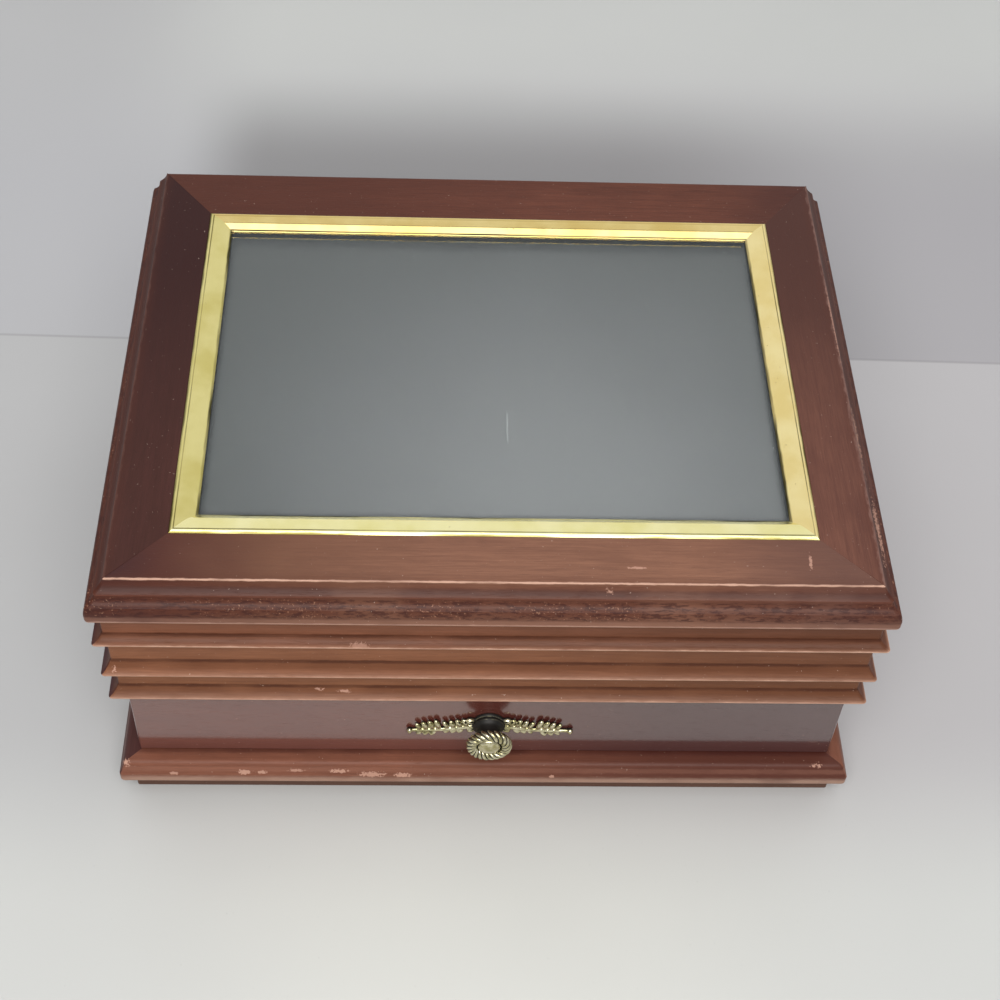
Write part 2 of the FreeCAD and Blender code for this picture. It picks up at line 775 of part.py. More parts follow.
def make_leaf_plate():
    """Cast plate: a boss and, on each side, a stem with two clusters of leaves and a ball tip."""
    end = plate_span / 2 - ball_radius
    upper_edge = [Vector(share * end, stem_height(share * end) + stem_radius, 0) for share in (0, 0.5, 1)]
    lower_edge = [Vector(share * end, stem_height(share * end) - stem_radius, 0) for share in (1, 0.5, 0)]
    outline = [
        Part.Arc(*upper_edge).toShape(),
        Part.LineSegment(upper_edge[2], lower_edge[0]).toShape(),
        Part.Arc(*lower_edge).toShape(),
        Part.LineSegment(lower_edge[2], upper_edge[0]).toShape(),
    ]
    stem = Part.Face(Part.Wire(outline)).extrude(Vector(0, 0, stem_height_out))
    crown = ball_radius * ball_crown_share
    ball = [(0, ball_radius), (crown, ball_radius), (ball_radius, crown)]
    half_plate = [stem, small_round(Vector(end, stem_height(end), 0), Vector(0, 0, 1), ball)]
    for cluster_start in (inner_cluster_start, outer_cluster_start):
        for number in range(upper_leaves_in_cluster):
            distance = cluster_start + number * leaf_pitch
            root = (distance, stem_height(distance))
            size = 1 - number * leaf_shrink
            half_plate.append(leaf_lobe(upper_leaf_length * size, leaf_radius, root, 90 - leaf_lean))
            if number < lower_leaves_in_cluster:
                length = lower_leaf_length * size
                half_plate.append(leaf_lobe(length, leaf_radius * size, root, leaf_lean - 90))
    half = half_plate[0].fuse(half_plate[1:])
    boss = Part.makeCylinder(plate_boss_radius, knob_plate_seat)
    plate = boss.fuse([half, mirrored(half)])
    plate = plate.cut(Part.makeCylinder(knob_foot_radius, plate_span, Vector(0, 0, knob_plate_seat)))
    plate = plate.cut(pull_screw_hole(0, knob_plate_seat))
    parts["pull_leaf_plate"] = on_drawer_face(plate)


def rope_groove(turn):
    """Slanting V groove across the rim of the knob, which leaves one strand of rope on each side."""
    half_width = math.pi * rope_ring_radius / rope_strands
    top = Vector(half_width * 2, 0, rope_groove_depth * 2)
    other = Vector(-half_width * 2, 0, rope_groove_depth * 2)
    valley = Vector(0, 0, 0)
    face = Part.Face(Part.makePolygon([valley, top, other, valley]))
    groove = face.extrude(Vector(0, 2 * rope_ring_section, 0))
    groove.translate(Vector(0, -rope_ring_section, 0))
    groove.rotate(valley, Vector(1, 0, 0), -rope_fall)
    groove.rotate(valley, Vector(0, 0, 1), rope_twist)
    crest = knob_reach - rope_groove_depth
    groove.translate(Vector(0, rope_ring_radius + rope_ring_section / 2, crest))
    groove.rotate(valley, Vector(0, 0, 1), turn)
    return groove


def make_knob():
    """Turned knob with a domed centre and a rope rim, and the screw that holds it."""
    head_back = knob_reach - knob_head_thickness
    ring_height = knob_reach - rope_ring_section
    dish = knob_reach - knob_dome_height
    foot_top = knob_plate_seat + knob_foot_height
    rim = []
    for step in range(rope_rim_facets + 1):
        over = math.pi * step / rope_rim_facets
        across = rope_ring_radius + rope_ring_section * math.cos(over)
        rim.append([(across, ring_height + rope_ring_section * math.sin(over))])
    body = section(
        (0, knob_plate_seat),
        [
            [(knob_foot_radius, knob_plate_seat)],
            [(knob_foot_radius, foot_top)],
            [(knob_neck_radius, foot_top + knob_foot_height / 2)],
            [(knob_neck_radius, head_back - knob_foot_height)],
            [(rope_ring_radius, head_back)],
        ]
        + rim
        + [
            [(knob_dish_radius, dish)],
            [(knob_dish_radius / 2, knob_reach - knob_dome_height / 4)],
            [(0, knob_reach)],
        ],
    ).revolve(Vector(0, 0, 0), Vector(0, 0, 1), 360)
    grooves = [rope_groove(360 * number / rope_strands) for number in range(rope_strands)]
    inside_face = front_plane - drawer_front_back
    head_low = inside_face - pull_screw_head_height
    chamfer = pull_screw_head_height / 2
    stations = [
        (0, pull_screw_head_radius - chamfer),
        (chamfer, pull_screw_head_radius),
        (pull_screw_head_height, pull_screw_head_radius),
        (pull_screw_head_height, pull_screw_radius),
        (knob_plate_seat + pull_screw_grip - head_low, pull_screw_radius),
    ]
    screw = small_round(Vector(0, 0, head_low), Vector(0, 0, 1), stations)
    parts["pull_knob"] = on_drawer_face(body.cut(grooves).cut(screw))
    parts["pull_screw"] = on_drawer_face(screw)
    parts["drawer_front"] = parts["drawer_front"].cut(on_drawer_face(pull_screw_hole(inside_face, 0)))


make_plinth_and_base()
make_carcass()
make_case_mouldings()
make_compartment()
make_lid_rails()
make_brass_strips()
make_window_stack()
make_turn_buttons()
make_hinges()
make_drawer()
make_leaf_plate()
make_knob()

os.makedirs("parts", exist_ok=True)
for node, shape in parts.items():
    shape.exportStep("parts/" + node + ".step")
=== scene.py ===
import json
import math

import bmesh
import bpy
from mathutils import Matrix, Vector, noise


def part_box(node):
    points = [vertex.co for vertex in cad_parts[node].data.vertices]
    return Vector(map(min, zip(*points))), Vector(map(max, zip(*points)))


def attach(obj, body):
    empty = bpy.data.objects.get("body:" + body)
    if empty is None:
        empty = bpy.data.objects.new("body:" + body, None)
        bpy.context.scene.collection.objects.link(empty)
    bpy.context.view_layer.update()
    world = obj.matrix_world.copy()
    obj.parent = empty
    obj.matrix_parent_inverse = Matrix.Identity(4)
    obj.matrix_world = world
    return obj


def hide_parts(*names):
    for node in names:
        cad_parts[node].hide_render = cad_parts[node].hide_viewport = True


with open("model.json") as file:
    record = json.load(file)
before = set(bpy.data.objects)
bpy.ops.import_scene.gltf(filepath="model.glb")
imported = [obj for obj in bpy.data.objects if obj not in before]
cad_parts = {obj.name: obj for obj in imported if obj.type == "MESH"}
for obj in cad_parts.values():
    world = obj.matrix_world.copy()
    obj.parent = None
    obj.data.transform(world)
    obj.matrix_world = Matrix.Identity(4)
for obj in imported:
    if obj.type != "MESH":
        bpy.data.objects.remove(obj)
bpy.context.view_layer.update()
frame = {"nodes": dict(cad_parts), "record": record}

# Lengths are in millimetres, and in a material in metres, unless a name says otherwise.
# X is to the right, Y to the back and Z up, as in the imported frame.
# A moulding's outline is drawn as (p, z): p is how far it stands out from the carcass.
MM = 0.001

nodes = frame["nodes"]
boxes = {node: [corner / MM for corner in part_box(node)] for node in nodes}


def low(node):
    """Lowest corner of a CAD node."""
    return boxes[node][0]


def high(node):
    """Highest corner of a CAD node."""
    return boxes[node][1]


SIDE = high("side_board_right").x
FRONT = low("front_board").y
BACK = high("back_board").y
BOARD = high("front_board").y - FRONT
LID_TOP = high("lid_rail_front").z
LID_BOTTOM = low("lid_rail_front").z
EDGE_REACH = FRONT - low("lid_rail_front").y
BRASS_HALF = high("brass_strip_front").x
BRASS_FRONT = low("brass_strip_front").y
BRASS_BACK = high("brass_strip_back").y
BRASS_WIDTH = high("brass_strip_front").y - BRASS_FRONT
BRASS_SEAT = low("brass_strip_front").z
SIDE_FACE = SIDE - BRASS_HALF
BACK_FACE = BACK - BRASS_BACK
FOUR_SIDES = ("front", "right", "back", "left")


# ---- camera, light and stage

CAMERA_PLACE = (-0.01997, -0.37327, 0.48951)
CAMERA_ANGLES = (50.30, 3.81, -3.62)  # pitch down, yaw and roll in degrees
CAMERA_LENS = 62.17
LAMP_PLACE = Vector((-0.05, -0.98, 1.25))
LAMP_WATTS = 22.0


def link(made):
    bpy.context.scene.collection.objects.link(made)
    return made


def make_camera():
    """The photograph's view: from above the front, turned and tilted slightly."""
    pitch, yaw, roll = (math.radians(v) for v in CAMERA_ANGLES)
    ahead = Vector((math.sin(yaw) * math.cos(pitch), math.cos(yaw) * math.cos(pitch), -math.sin(pitch)))
    level = Vector((math.cos(yaw), -math.sin(yaw), 0))
    down = ahead.cross(level)
    right = math.cos(roll) * level + math.sin(roll) * down
    up = math.sin(roll) * level - math.cos(roll) * down
    data = bpy.data.cameras.new("view")
    data.lens = CAMERA_LENS
    data.sensor_width = 36
    data.clip_start = 0.01
    camera = link(bpy.data.objects.new("view", data))
    turn = Matrix((right, up, -ahead)).transposed().to_4x4()
    camera.matrix_world = Matrix.Translation(CAMERA_PLACE) @ turn
    bpy.context.scene.camera = camera
    bpy.context.scene.view_settings.view_transform = "Standard"


def tint(code):
    """Linear colour of a hexadecimal screen colour."""
    values = [int(code[i : i + 2], 16) / 255 for i in (1, 3, 5)]
    linear = [v / 12.92 if v <= 0.04045 else ((v + 0.055) / 1.055) ** 2.4 for v in values]
    return (*linear, 1.0)


class Graph:
    """Node tree of one material, with a short call for each kind of node. A colour can be a hexadecimal code."""

    def __init__(self, owner):
        owner.use_nodes = True
        self.owner = owner
        self.tree = owner.node_tree
        self.tree.nodes.clear()
        self.cache = {}

    def put(self, socket, value):
        if isinstance(value, bpy.types.NodeSocket):
            self.tree.links.new(value, socket)
        elif isinstance(value, str):
            socket.default_value = tint(value)
        elif value is not None:
            socket.default_value = value

    def node(self, kind, inputs=(), **settings):
        made = self.tree.nodes.new("ShaderNode" + kind)
        for key, value in settings.items():
            setattr(made, key, value)
        for key, value in dict(inputs).items():
            self.put(made.inputs[key], value)
        return made

    def here(self):
        """The point on the object."""
        if "here" not in self.cache:
            self.cache["here"] = self.node("TexCoord").outputs["Object"]
        return self.cache["here"]

    def place(self):
        """Its x, y and z."""
        if "place" not in self.cache:
            self.cache["place"] = self.node("SeparateXYZ", {"Vector": self.here()}).outputs
        return self.cache["place"]

    def scaled(self, scale, shift=(0, 0, 0), vector=None):
        inputs = {"Vector": vector or self.here(), "Scale": scale, "Location": shift}
        return self.node("Mapping", inputs).outputs["Vector"]

    def noise(self, scale=1.0, detail=2.0, rough=0.5, vector=None, output="Fac"):
        inputs = {"Vector": vector or self.here(), "Scale": scale, "Detail": detail, "Roughness": rough}
        return self.node("TexNoise", inputs).outputs[output]

    def streaks(self, along, lengthwise, across, detail, rough, seed=0.0, vector=None, output="Fac"):
        """Noise drawn out along the grain."""
        scale = [across] * 3
        scale["XYZ".index(along)] = lengthwise
        drawn = self.scaled(scale, (seed, seed * 1.7, seed * 0.6), vector)
        return self.noise(1.0, detail, rough, drawn, output)

    def math(self, operation, *values):
        made = self.node("Math", operation=operation)
        for socket, value in zip(made.inputs, values):
            self.put(socket, value)
        return made.outputs[0]

    def plus(self, a, b):
        return self.math("ADD", a, b)

    def minus(self, a, b):
        return self.math("SUBTRACT", a, b)

    def times(self, a, b):
        return self.math("MULTIPLY", a, b)

    def scale_add(self, a, share, b):
        """a times share, plus b."""
        return self.math("MULTIPLY_ADD", a, share, b)

    def size(self, a):
        return self.math("ABSOLUTE", a)

    def stirred(self, value, pattern, amount):
        """Value moved up and down by a noise pattern, by half the amount at most."""
        return self.scale_add(self.minus(pattern, 0.5), amount, value)

    def vector(self, operation, a, b=None):
        made = self.node("VectorMath", {0: a, 1: b}, operation=operation)
        return made.outputs["Value" if operation == "LENGTH" else "Vector"]

    def between(self, value, start, end, low_value=0.0, high_value=1.0):
        """Value ranged from start to end, eased and held at both ends."""
        inputs = {"Value": value, "From Min": start, "From Max": end, "To Min": low_value, "To Max": high_value}
        return self.node("MapRange", inputs, interpolation_type="SMOOTHSTEP").outputs["Result"]

    def mix(self, share, a, b):
        made = self.node("Mix", {0: share, 6: a, 7: b}, data_type="RGBA", clamp_factor=True)
        return made.outputs[2]

    def ramp(self, value, stops):
        made = self.node("ValToRGB", {"Fac": value})
        elements = made.color_ramp.elements
        while len(elements) < len(stops):
            elements.new(0.5)
        for element, (place, colour) in zip(elements, stops):
            element.position = place
            element.color = colour
        return made.outputs["Color"]

    def attribute(self, name):
        return self.node("Attribute", attribute_name=name).outputs["Fac"]

    def bump(self, height, distance, strength=1.0, normal=None):
        inputs = {"Height": height, "Distance": distance, "Strength": strength, "Normal": normal}
        return self.node("Bump", inputs).outputs["Normal"]

    def shader(self, **inputs):
        """Principled surface wired to the output. An underscore in a name stands for a space."""
        named = {key.replace("_", " "): value for key, value in inputs.items()}
        return self.finish(self.node("BsdfPrincipled", named).outputs[0])

    def finish(self, surface):
        kind = "OutputWorld" if isinstance(self.owner, bpy.types.World) else "OutputMaterial"
        self.node(kind, {"Surface": surface})
        return self.owner


def surface(name):
    return Graph(bpy.data.materials.new(name))


def make_light():
    """A bright wall behind, a dim ceiling with one lamp, some fill all round and one broad lamp by the viewer."""
    world = bpy.data.worlds.new("room")
    bpy.context.scene.world = world
    g = Graph(world)
    direction = g.node("TexCoord").outputs["Generated"]
    x, y, z = g.node("SeparateXYZ", {"Vector": direction}).outputs
    fill = g.scale_add(g.between(z, 0.70, 0.92), -0.26, 0.48)
    light = g.scale_add(g.between(y, 0.14, 0.44), g.minus(0.88, fill), fill)
    overhead = g.times(g.between(y, -0.44, -0.38), g.between(y, 0.18, 0.12))
    overhead = g.times(overhead, g.between(g.size(x), 0.27, 0.22))
    overhead = g.times(overhead, g.between(z, 0.85, 0.88))
    light = g.scale_add(overhead, 2.1, light)
    g.finish(g.node("Background", {"Color": "#fbfcff", "Strength": light}).outputs[0])

    lamp = bpy.data.lights.new("softbox", "AREA")
    lamp.shape = "RECTANGLE"
    lamp.size, lamp.size_y = 1.2, 0.8
    lamp.energy = LAMP_WATTS
    lamp.color = (1.0, 0.985, 0.96)
    placed = link(bpy.data.objects.new("softbox", lamp))
    placed.location = LAMP_PLACE
    placed.rotation_euler = (-LAMP_PLACE).to_track_quat("-Z", "Y").to_euler()


def make_floor():
    """Pale table top with painted light and shade: lighter towards the front and the middle, darker beside the box.
    Behind a seam it has the tones of the wall, lighter higher up, with a painted soft shadow of the box on it.
    """
    half = 3.0
    mesh = bpy.data.meshes.new("table_top")
    mesh.from_pydata([(-half, -half, 0), (half, -half, 0), (half, half, 0), (-half, half, 0)], [], [(0, 1, 2, 3)])
    floor = link(bpy.data.objects.new("table_top", mesh))
    g = surface("table_top")
    x, y, z = g.place()
    along_seam = g.scale_add(x, 0.0192, y)
    seam_line = g.between(g.size(g.minus(along_seam, 0.1103)), 0.0009, 0.0003)
    # Painted light and shade: lighter towards the front and the middle, darker beside the box, and the wall lighter
    # higher up.
    beside = g.mix(g.between(x, -0.11, 0.13), "#adadad", "#aeacad")
    before = g.mix(g.between(g.size(x), 0.135, 0.02), "#bfc0bd", "#cacbc6")
    near = g.mix(g.between(y, -0.06, -0.135), beside, before)
    low_wall = g.mix(g.between(x, -0.12, 0.14), "#acacae", "#aba9ac")
    high_wall = g.mix(g.between(x, -0.18, -0.09), "#b0b0b0", "#bdbebb")
    far = g.mix(g.between(y, 0.19, 0.33), low_wall, high_wall)
    # Painted soft shadow of the box on the wall behind it.
    across = g.times(g.between(x, -0.135, -0.09), g.between(x, 0.2, 0.06, 0.35, 1.0))
    shadow = g.times(g.between(y, 0.292, 0.222), across)
    far = g.mix(g.times(shadow, 0.62), far, "#6b6968")
    colour = g.mix(g.between(along_seam, 0.1095, 0.1110), near, far)
    colour = g.mix(g.between(g.noise(7, 3), 0.4, 0.7, 0.0, 0.06), colour, "#8f8f8d")
    colour = g.mix(g.times(seam_line, 0.35), colour, "#7d7b7c")
    dust = g.between(g.noise(900), 0.72, 0.78)
    colour = g.mix(g.times(dust, 0.25), colour, "#9a9a98")
    normal = g.bump(g.noise(1500), 0.0001, 0.15)
    mesh.materials.append(g.shader(Base_Color=colour, Roughness=0.55, Normal=normal, Specular_IOR_Level=0.3))


# ---- shapes


def arc(start, through, end, count=6):
    """Points on the circle through three points, without the first."""
    (ax, az), (bx, bz), (cx, cz) = start, through, end
    d = 2 * (ax * (bz - cz) + bx * (cz - az) + cx * (az - bz))
    ux = ((ax**2 + az**2) * (bz - cz) + (bx**2 + bz**2) * (cz - az) + (cx**2 + cz**2) * (az - bz)) / d
    uz = ((ax**2 + az**2) * (cx - bx) + (bx**2 + bz**2) * (ax - cx) + (cx**2 + cz**2) * (bx - ax)) / d
    radius = math.hypot(ax - ux, az - uz)
    first = math.atan2(az - uz, ax - ux)
    turn_b = (math.atan2(bz - uz, bx - ux) - first) % math.tau
    turn_c = (math.atan2(cz - uz, cx - ux) - first) % math.tau
    if turn_b > turn_c:
        turn_c -= math.tau
    angles = [first + turn_c * step / count for step in range(1, count + 1)]
    return [(ux + radius * math.cos(a), uz + radius * math.sin(a)) for a in angles]


def curve(start, bend, end, t):
    """Point at share t of the curve from start to end that bends towards a third point."""
    return tuple((1 - t) ** 2 * a + 2 * t * (1 - t) * b + t**2 * c for a, b, c in zip(start, bend, end))


def circle(radius, count):
    """Points on a circle round the origin."""
    turns = [math.tau * j / count for j in range(count)]
    return [(radius * math.cos(turn), radius * math.sin(turn)) for turn in turns]


def softened_outline(points, count=4):
    """Closed outline whose corners (p, z, radius) are rounded. Gives (p, z) points."""
    made = []
    for i, point in enumerate(points):
        here = Vector(point[:2])
        if len(point) < 3:
            made.append(tuple(here))
            continue
        back = Vector(points[i - 1][:2]) - here
        ahead = Vector(points[(i + 1) % len(points)][:2]) - here
        reach = min(point[2] / math.tan(back.angle(ahead) / 2), back.length * 0.45, ahead.length * 0.45)
        start, end = here + back.normalized() * reach, here + ahead.normalized() * reach
        made += [curve(start, here, end, step / count) for step in range(count + 1)]
    return made


def follow(controls, p):
    """Position along the run where the mitre meets the outline at p, from (p, position) pairs."""
    pairs = sorted(controls)
    if len(pairs) == 1:
        return pairs[0][1]
    for (p0, a0), (p1, a1) in zip(pairs, pairs[1:]):
        if p <= p1 or (p1, a1) == pairs[-1]:
            return a0 + (a1 - a0) * (p - p0) / (p1 - p0)


def mirrored(controls):
    return [(p, -position) for p, position in controls]


class Shape:
    """Points and faces of one mesh, in millimetres."""

    def __init__(self):
        self.points, self.faces = [], []

    def skin(self, rows, closed=False, capped=True):
        """Faces between rows of points, each row a ring, with a face on both ends if capped."""
        base, count = len(self.points), len(rows[0])
        for row in rows:
            self.points += row
        for i in range(len(rows) if closed else len(rows) - 1):
            a, b = base + i * count, base + (i + 1) % len(rows) * count
            for j in range(count):
                k = (j + 1) % count
                self.faces.append((a + j, a + k, b + k, b + j))
        if capped:
            last = base + (len(rows) - 1) * count
            self.faces += [tuple(range(base, base + count)), tuple(reversed(range(last, last + count)))]

    def made(self, name, material, smooth_angle=None, **values):
        """New object, smooth up to an angle, with values as attributes of its points."""
        mesh = bpy.data.meshes.new(name)
        mesh.from_pydata([Vector(point) * MM for point in self.points], [], self.faces)
        mesh.validate()
        bm = bmesh.new()
        bm.from_mesh(mesh)
        bmesh.ops.recalc_face_normals(bm, faces=bm.faces)
        bm.to_mesh(mesh)
        bm.free()
        if smooth_angle:
            mesh.shade_smooth()
            mesh.set_sharp_from_angle(angle=math.radians(smooth_angle))
        mesh.materials.append(material)
        for key, numbers in values.items():
            mark(mesh, key, numbers)
        return link(bpy.data.objects.new(name, mesh))


def mark(mesh, name, numbers):
    mesh.attributes.new(name, "FLOAT", "POINT").data.foreach_set("value", numbers)


def settle_normals(piece):
    """Large flat faces keep their own shading beside narrow rounded edges."""
    weights = piece.modifiers.new("weights", "WEIGHTED_NORMAL")
    weights.keep_sharp = True
    weights.weight = 100
    apply_modifiers(piece)


def apply_modifiers(piece):
    """Turns what the modifiers make into the piece's own mesh."""
    bpy.context.view_layer.update()
    graph = bpy.context.evaluated_depsgraph_get()
    made = bpy.data.meshes.new_from_object(piece.evaluated_get(graph))
    old = piece.data
    piece.modifiers.clear()
    piece.data = made
    bpy.data.meshes.remove(old)


def place_run(facing, p, z, along):
    """Point of a run of moulding on one face of the box."""
    if facing in ("front", "back"):
        return (along, FRONT - p if facing == "front" else BACK + p, z)
    return (SIDE + p if facing == "right" else -SIDE - p, along, z)


def run_axis(facing):
    return "X" if facing in ("front", "back") else "Y"


def flat_parts(outline, folds):
    """Outline divided, from the outside in, where it passes each fold's reach, for an end that isn't in one plane."""
    rest, parts = list(range(len(outline))), []
    for fold in folds:
        first, second = sorted(sorted(rest, key=lambda i: abs(outline[i][0] - fold))[:2])
        parts.append([i for i in rest if first <= i <= second])
        rest = [i for i in rest if i <= first or i >= second]
    return [*parts, rest]


CORNER = 1.1
CORNER_STEPS = 5


def corner_rounding(controls, p):
    """Radius in plan of an outer mitre: it grows with the reach, and an inner or square end has none."""
    slope = abs(follow(controls, p + 0.5) - follow(controls, p - 0.5))
    return CORNER * min(1.0, (p + 1) / 2) if 0.9 < slope < 1.1 and p > -1 else 0.0


def sweep(node, facing, outline, start, end, material, ending="_moulded", step=1.6, wear=0.05, gap=0.07, folds=()):
    """Moulding with mitred ends in place of a node. Its edges are dented, and its outer mitres rounded in plan."""
    total = len(outline)
    normals = []
    for i in range(total):
        tangent = (Vector(outline[(i + 1) % total]) - Vector(outline[i - 1])).normalized()
        normals.append(Vector((tangent.y, -tangent.x)))
    pairs = zip(outline, outline[1:] + outline[:1])
    if sum(a[0] * b[1] - b[0] * a[1] for a, b in pairs) < 0:
        normals = [-n for n in normals]
    inner = max(2, int(abs(follow(end, 0) - follow(start, 0)) / step))
    turns = [math.radians(45 * i / CORNER_STEPS) for i in range(CORNER_STEPS + 1)]
    stations = [("start", turn) for turn in reversed(turns)]
    stations += [("run", (i + 0.5) / inner) for i in range(inner)]
    stations += [("end", turn) for turn in turns]
    rows = []
    for kind, value in stations:
        row = []
        for (p, z), normal in zip(outline, normals):
            ends = {"start": follow(start, p), "end": follow(end, p)}
            back = {"start": corner_rounding(start, p), "end": corner_rounding(end, p)}
            sign = 1 if ends["end"] > ends["start"] else -1
            if kind == "run":
                low_end = ends["start"] + sign * back["start"]
                high_end = ends["end"] - sign * back["end"]
                along, shrink = low_end + (high_end - low_end) * value, 0.0
            else:
                along = ends[kind] + (sign if kind == "start" else -sign) * back[kind] * (1 - math.sin(value))
                shrink = back[kind] * (1 - math.cos(value))
            sink = gap if kind != "run" and value == turns[-1] else 0.0
            if wear:
                spot = Vector((along * 0.11, p * 0.9, z * 0.9 + ends["start"]))
                sink += wear * max(0.0, noise.noise(spot) - 0.05)
            row.append(place_run(facing, p - shrink - normal.x * sink, z - normal.y * sink, along))
        rows.append(row)
    shape = Shape()
    shape.skin(rows, capped=False)
    last = len(shape.points) - total
    shape.faces.append(tuple(range(total)))
    shape.faces += [tuple(last + i for i in reversed(part)) for part in flat_parts(outline, folds)]
    piece = shape.made(node + ending, material, 32, reach=[p for p, z in outline] * len(stations))
    settle_normals(piece)
    stand_for(piece, node)


def softened(node, radius, material, name=None, segments=2):
    """Copy of a CAD node with its hard edges rounded. The bevels carry the attribute arris."""
    mesh = nodes[node].data.copy()
    bm = bmesh.new()
    bm.from_mesh(mesh)
    bmesh.ops.remove_doubles(bm, verts=bm.verts, dist=0.000002)
    bmesh.ops.dissolve_limit(bm, angle_limit=math.radians(1.0), verts=bm.verts, edges=bm.edges)
    hard = math.radians(38)
    sharp = [e for e in bm.edges if len(e.link_faces) == 2 and e.calc_face_angle(0) > hard]
    arris = bm.faces.layers.float.new("arris")
    made = bmesh.ops.bevel(
        bm, geom=sharp, offset=radius * MM, segments=segments, affect="EDGES", profile=0.5, clamp_overlap=True
    )
    for face in made["faces"]:
        face[arris] = 1.0
    bmesh.ops.recalc_face_normals(bm, faces=bm.faces)
    bm.to_mesh(mesh)
    bm.free()
    mesh.materials.clear()
    mesh.materials.append(material)
    mesh.shade_smooth()
    mesh.set_sharp_from_angle(angle=hard)
    piece = link(bpy.data.objects.new(name or node + "_finished", mesh))
    settle_normals(piece)
    stand_for(piece, node)
    return piece


def stand_for(piece, node):
    """The piece rides on the node's body and is shown in place of the node, which is hidden."""
    bodies = frame["record"]["behaviour"]["bodies"]
    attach(piece, next(body for body, members in bodies.items() if node in members))
    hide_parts(node)


# ---- finishes


def spot_mask(g, centre, radii, breakup):
    """Ragged patch round a point."""
    offset = g.vector("SUBTRACT", g.here(), tuple(c * MM for c in centre))
    spread = g.vector("LENGTH", g.vector("MULTIPLY", offset, tuple(1 / (r * MM) for r in radii)))
    return g.between(g.stirred(spread, breakup, 3.4), 0.95, 0.75)


def outline_distance(g, p, level):
    """How far a point of a moulding lies from (p, z) of its outline, in millimetres."""
    off = g.minus(g.attribute("reach"), p)
    up = g.minus(g.times(g.place()["Z"], 1 / MM), level)
    return g.math("SQRT", g.plus(g.times(off, off), g.times(up, up)))


def wood(name, along, dark, light, seed=0.0, roughness=0.5, coat=0.05, **extra):
    """Stained and lacquered wood.

    Extras: lines (p, z, width, share, colour, raggedness) and flecked (p, z, width) follow a moulding's outline; the
    lines paint shade, highlights and wear.
    Spots are (centre, radii, share). Dull is (z where it starts, z where it is full, added roughness).
    Each of shaded is (axis, from, to, share, colour): painted shade, the colour darkens along it where the light falls
    off.
    """
    g = surface(name)
    worn = extra.get("worn", "#b98f7c")
    bend = g.streaks(along, 9, 34, 2, 0.5, seed, output="Color")
    bend = g.vector("MULTIPLY", g.vector("SUBTRACT", bend, (0.5,) * 3), (0.003 * extra.get("sway", 1.0),) * 3)
    bent = g.vector("ADD", g.here(), bend)
    broad = g.streaks(along, 5, 60, 3, 0.55, seed, bent)
    streak = g.streaks(along, 34, 900, 4, 0.62, seed, bent)
    fine = g.streaks(along, 90, 2300, 3, 0.65, seed, bent)
    pores = g.between(g.streaks(along, 210, 5200, 1, 0.5, seed, bent), 0.62, 0.72)
    grain = g.scale_add(broad, 0.32, g.scale_add(streak, 0.32, g.times(fine, 0.36)))
    middle = [(a + b) / 2 for a, b in zip(tint(dark), tint(light))]
    colour = g.ramp(grain, [(0.34, tint(dark)), (0.50, middle), (0.66, tint(light))])
    colour = g.mix(g.times(pores, 0.45), colour, dark)
    clouds = g.streaks(along, 40, 75, 4, 0.62, seed + 1)
    colour = g.mix(g.between(clouds, 0.42, 0.66, 0.0, 0.42), colour, dark)
    # Painted shade: the colour darkens along an axis where the light falls off.
    for axis, start, end, share, shade in extra.get("shaded", ()):
        cloud = g.stirred(g.place()[axis], g.noise(30, 3), 0.03)
        colour = g.mix(g.between(cloud, start * MM, end * MM, 0.0, share), colour, shade)
    wear = g.streaks(along, 260, 1200, 4, 0.65, seed + 3)
    slow = g.noise(55)
    height = g.times(pores, -1.0)
    shine = g.scale_add(streak, 0.12, roughness - 0.06)
    if "dull" in extra:
        start, end, rise = extra["dull"]
        shine = g.plus(shine, g.between(g.place()["Z"], start * MM, end * MM, 0.0, rise))
    # Lines along the outline: painted shade in coves and under noses, painted highlights on noses and rounded edges,
    # and worn edges.
    for p, level, width, share, line_colour, ragged in extra.get("lines", ()):
        away = g.stirred(outline_distance(g, p, level), wear, -ragged * width)
        band = g.between(away, width, width * 0.25)
        patchy = g.between(slow, 0.32, 0.58, share * 0.6, share)
        colour = g.mix(g.times(band, patchy), colour, line_colour)
    if "flecked" in extra:
        p, level, width = extra["flecked"]
        band = g.between(outline_distance(g, p, level), width, width * 0.7)
        flecks = g.streaks(along, 280, 1000, 5, 0.72, seed + 9)
        colour = g.mix(g.times(g.between(flecks, 0.47, 0.58, 0.0, 0.72), band), colour, "#33120d")
        grains = g.between(g.noise(1700), 0.62, 0.70, 0.0, 0.55)
        dusty = g.times(grains, g.between(slow, 0.46, 0.62))
        colour = g.mix(g.times(dusty, band), colour, "#a97d64")
    ground = g.noise(1300, 4, 0.7)
    for centre, radii, share in extra.get("spots", ()):
        patch = g.times(spot_mask(g, centre, radii, ground), share)
        colour = g.mix(patch, colour, worn)
        height = g.scale_add(patch, -1.5, height)
        shine = g.scale_add(patch, 0.25, shine)
    rubbed = g.times(g.attribute("arris"), g.between(wear, 0.44, 0.60, 0.0, 0.7))
    colour = g.mix(rubbed, colour, worn)
    specks = g.between(g.noise(1500), 0.745, 0.765, 0, 0.5)
    colour = g.mix(specks, colour, "#c9b3a4")
    normal = g.bump(height, 0.00006, 0.5)
    normal = g.bump(g.noise(260), 0.00012, 0.12, normal)
    return g.shader(
        Base_Color=colour,
        Roughness=shine,
        Normal=normal,
        Coat_Weight=coat,
        Coat_Roughness=extra.get("coat_roughness", 0.35),
        Coat_IOR=extra.get("coat_ior", 1.5),
        Specular_IOR_Level=extra.get("specular", 0.2),
    )


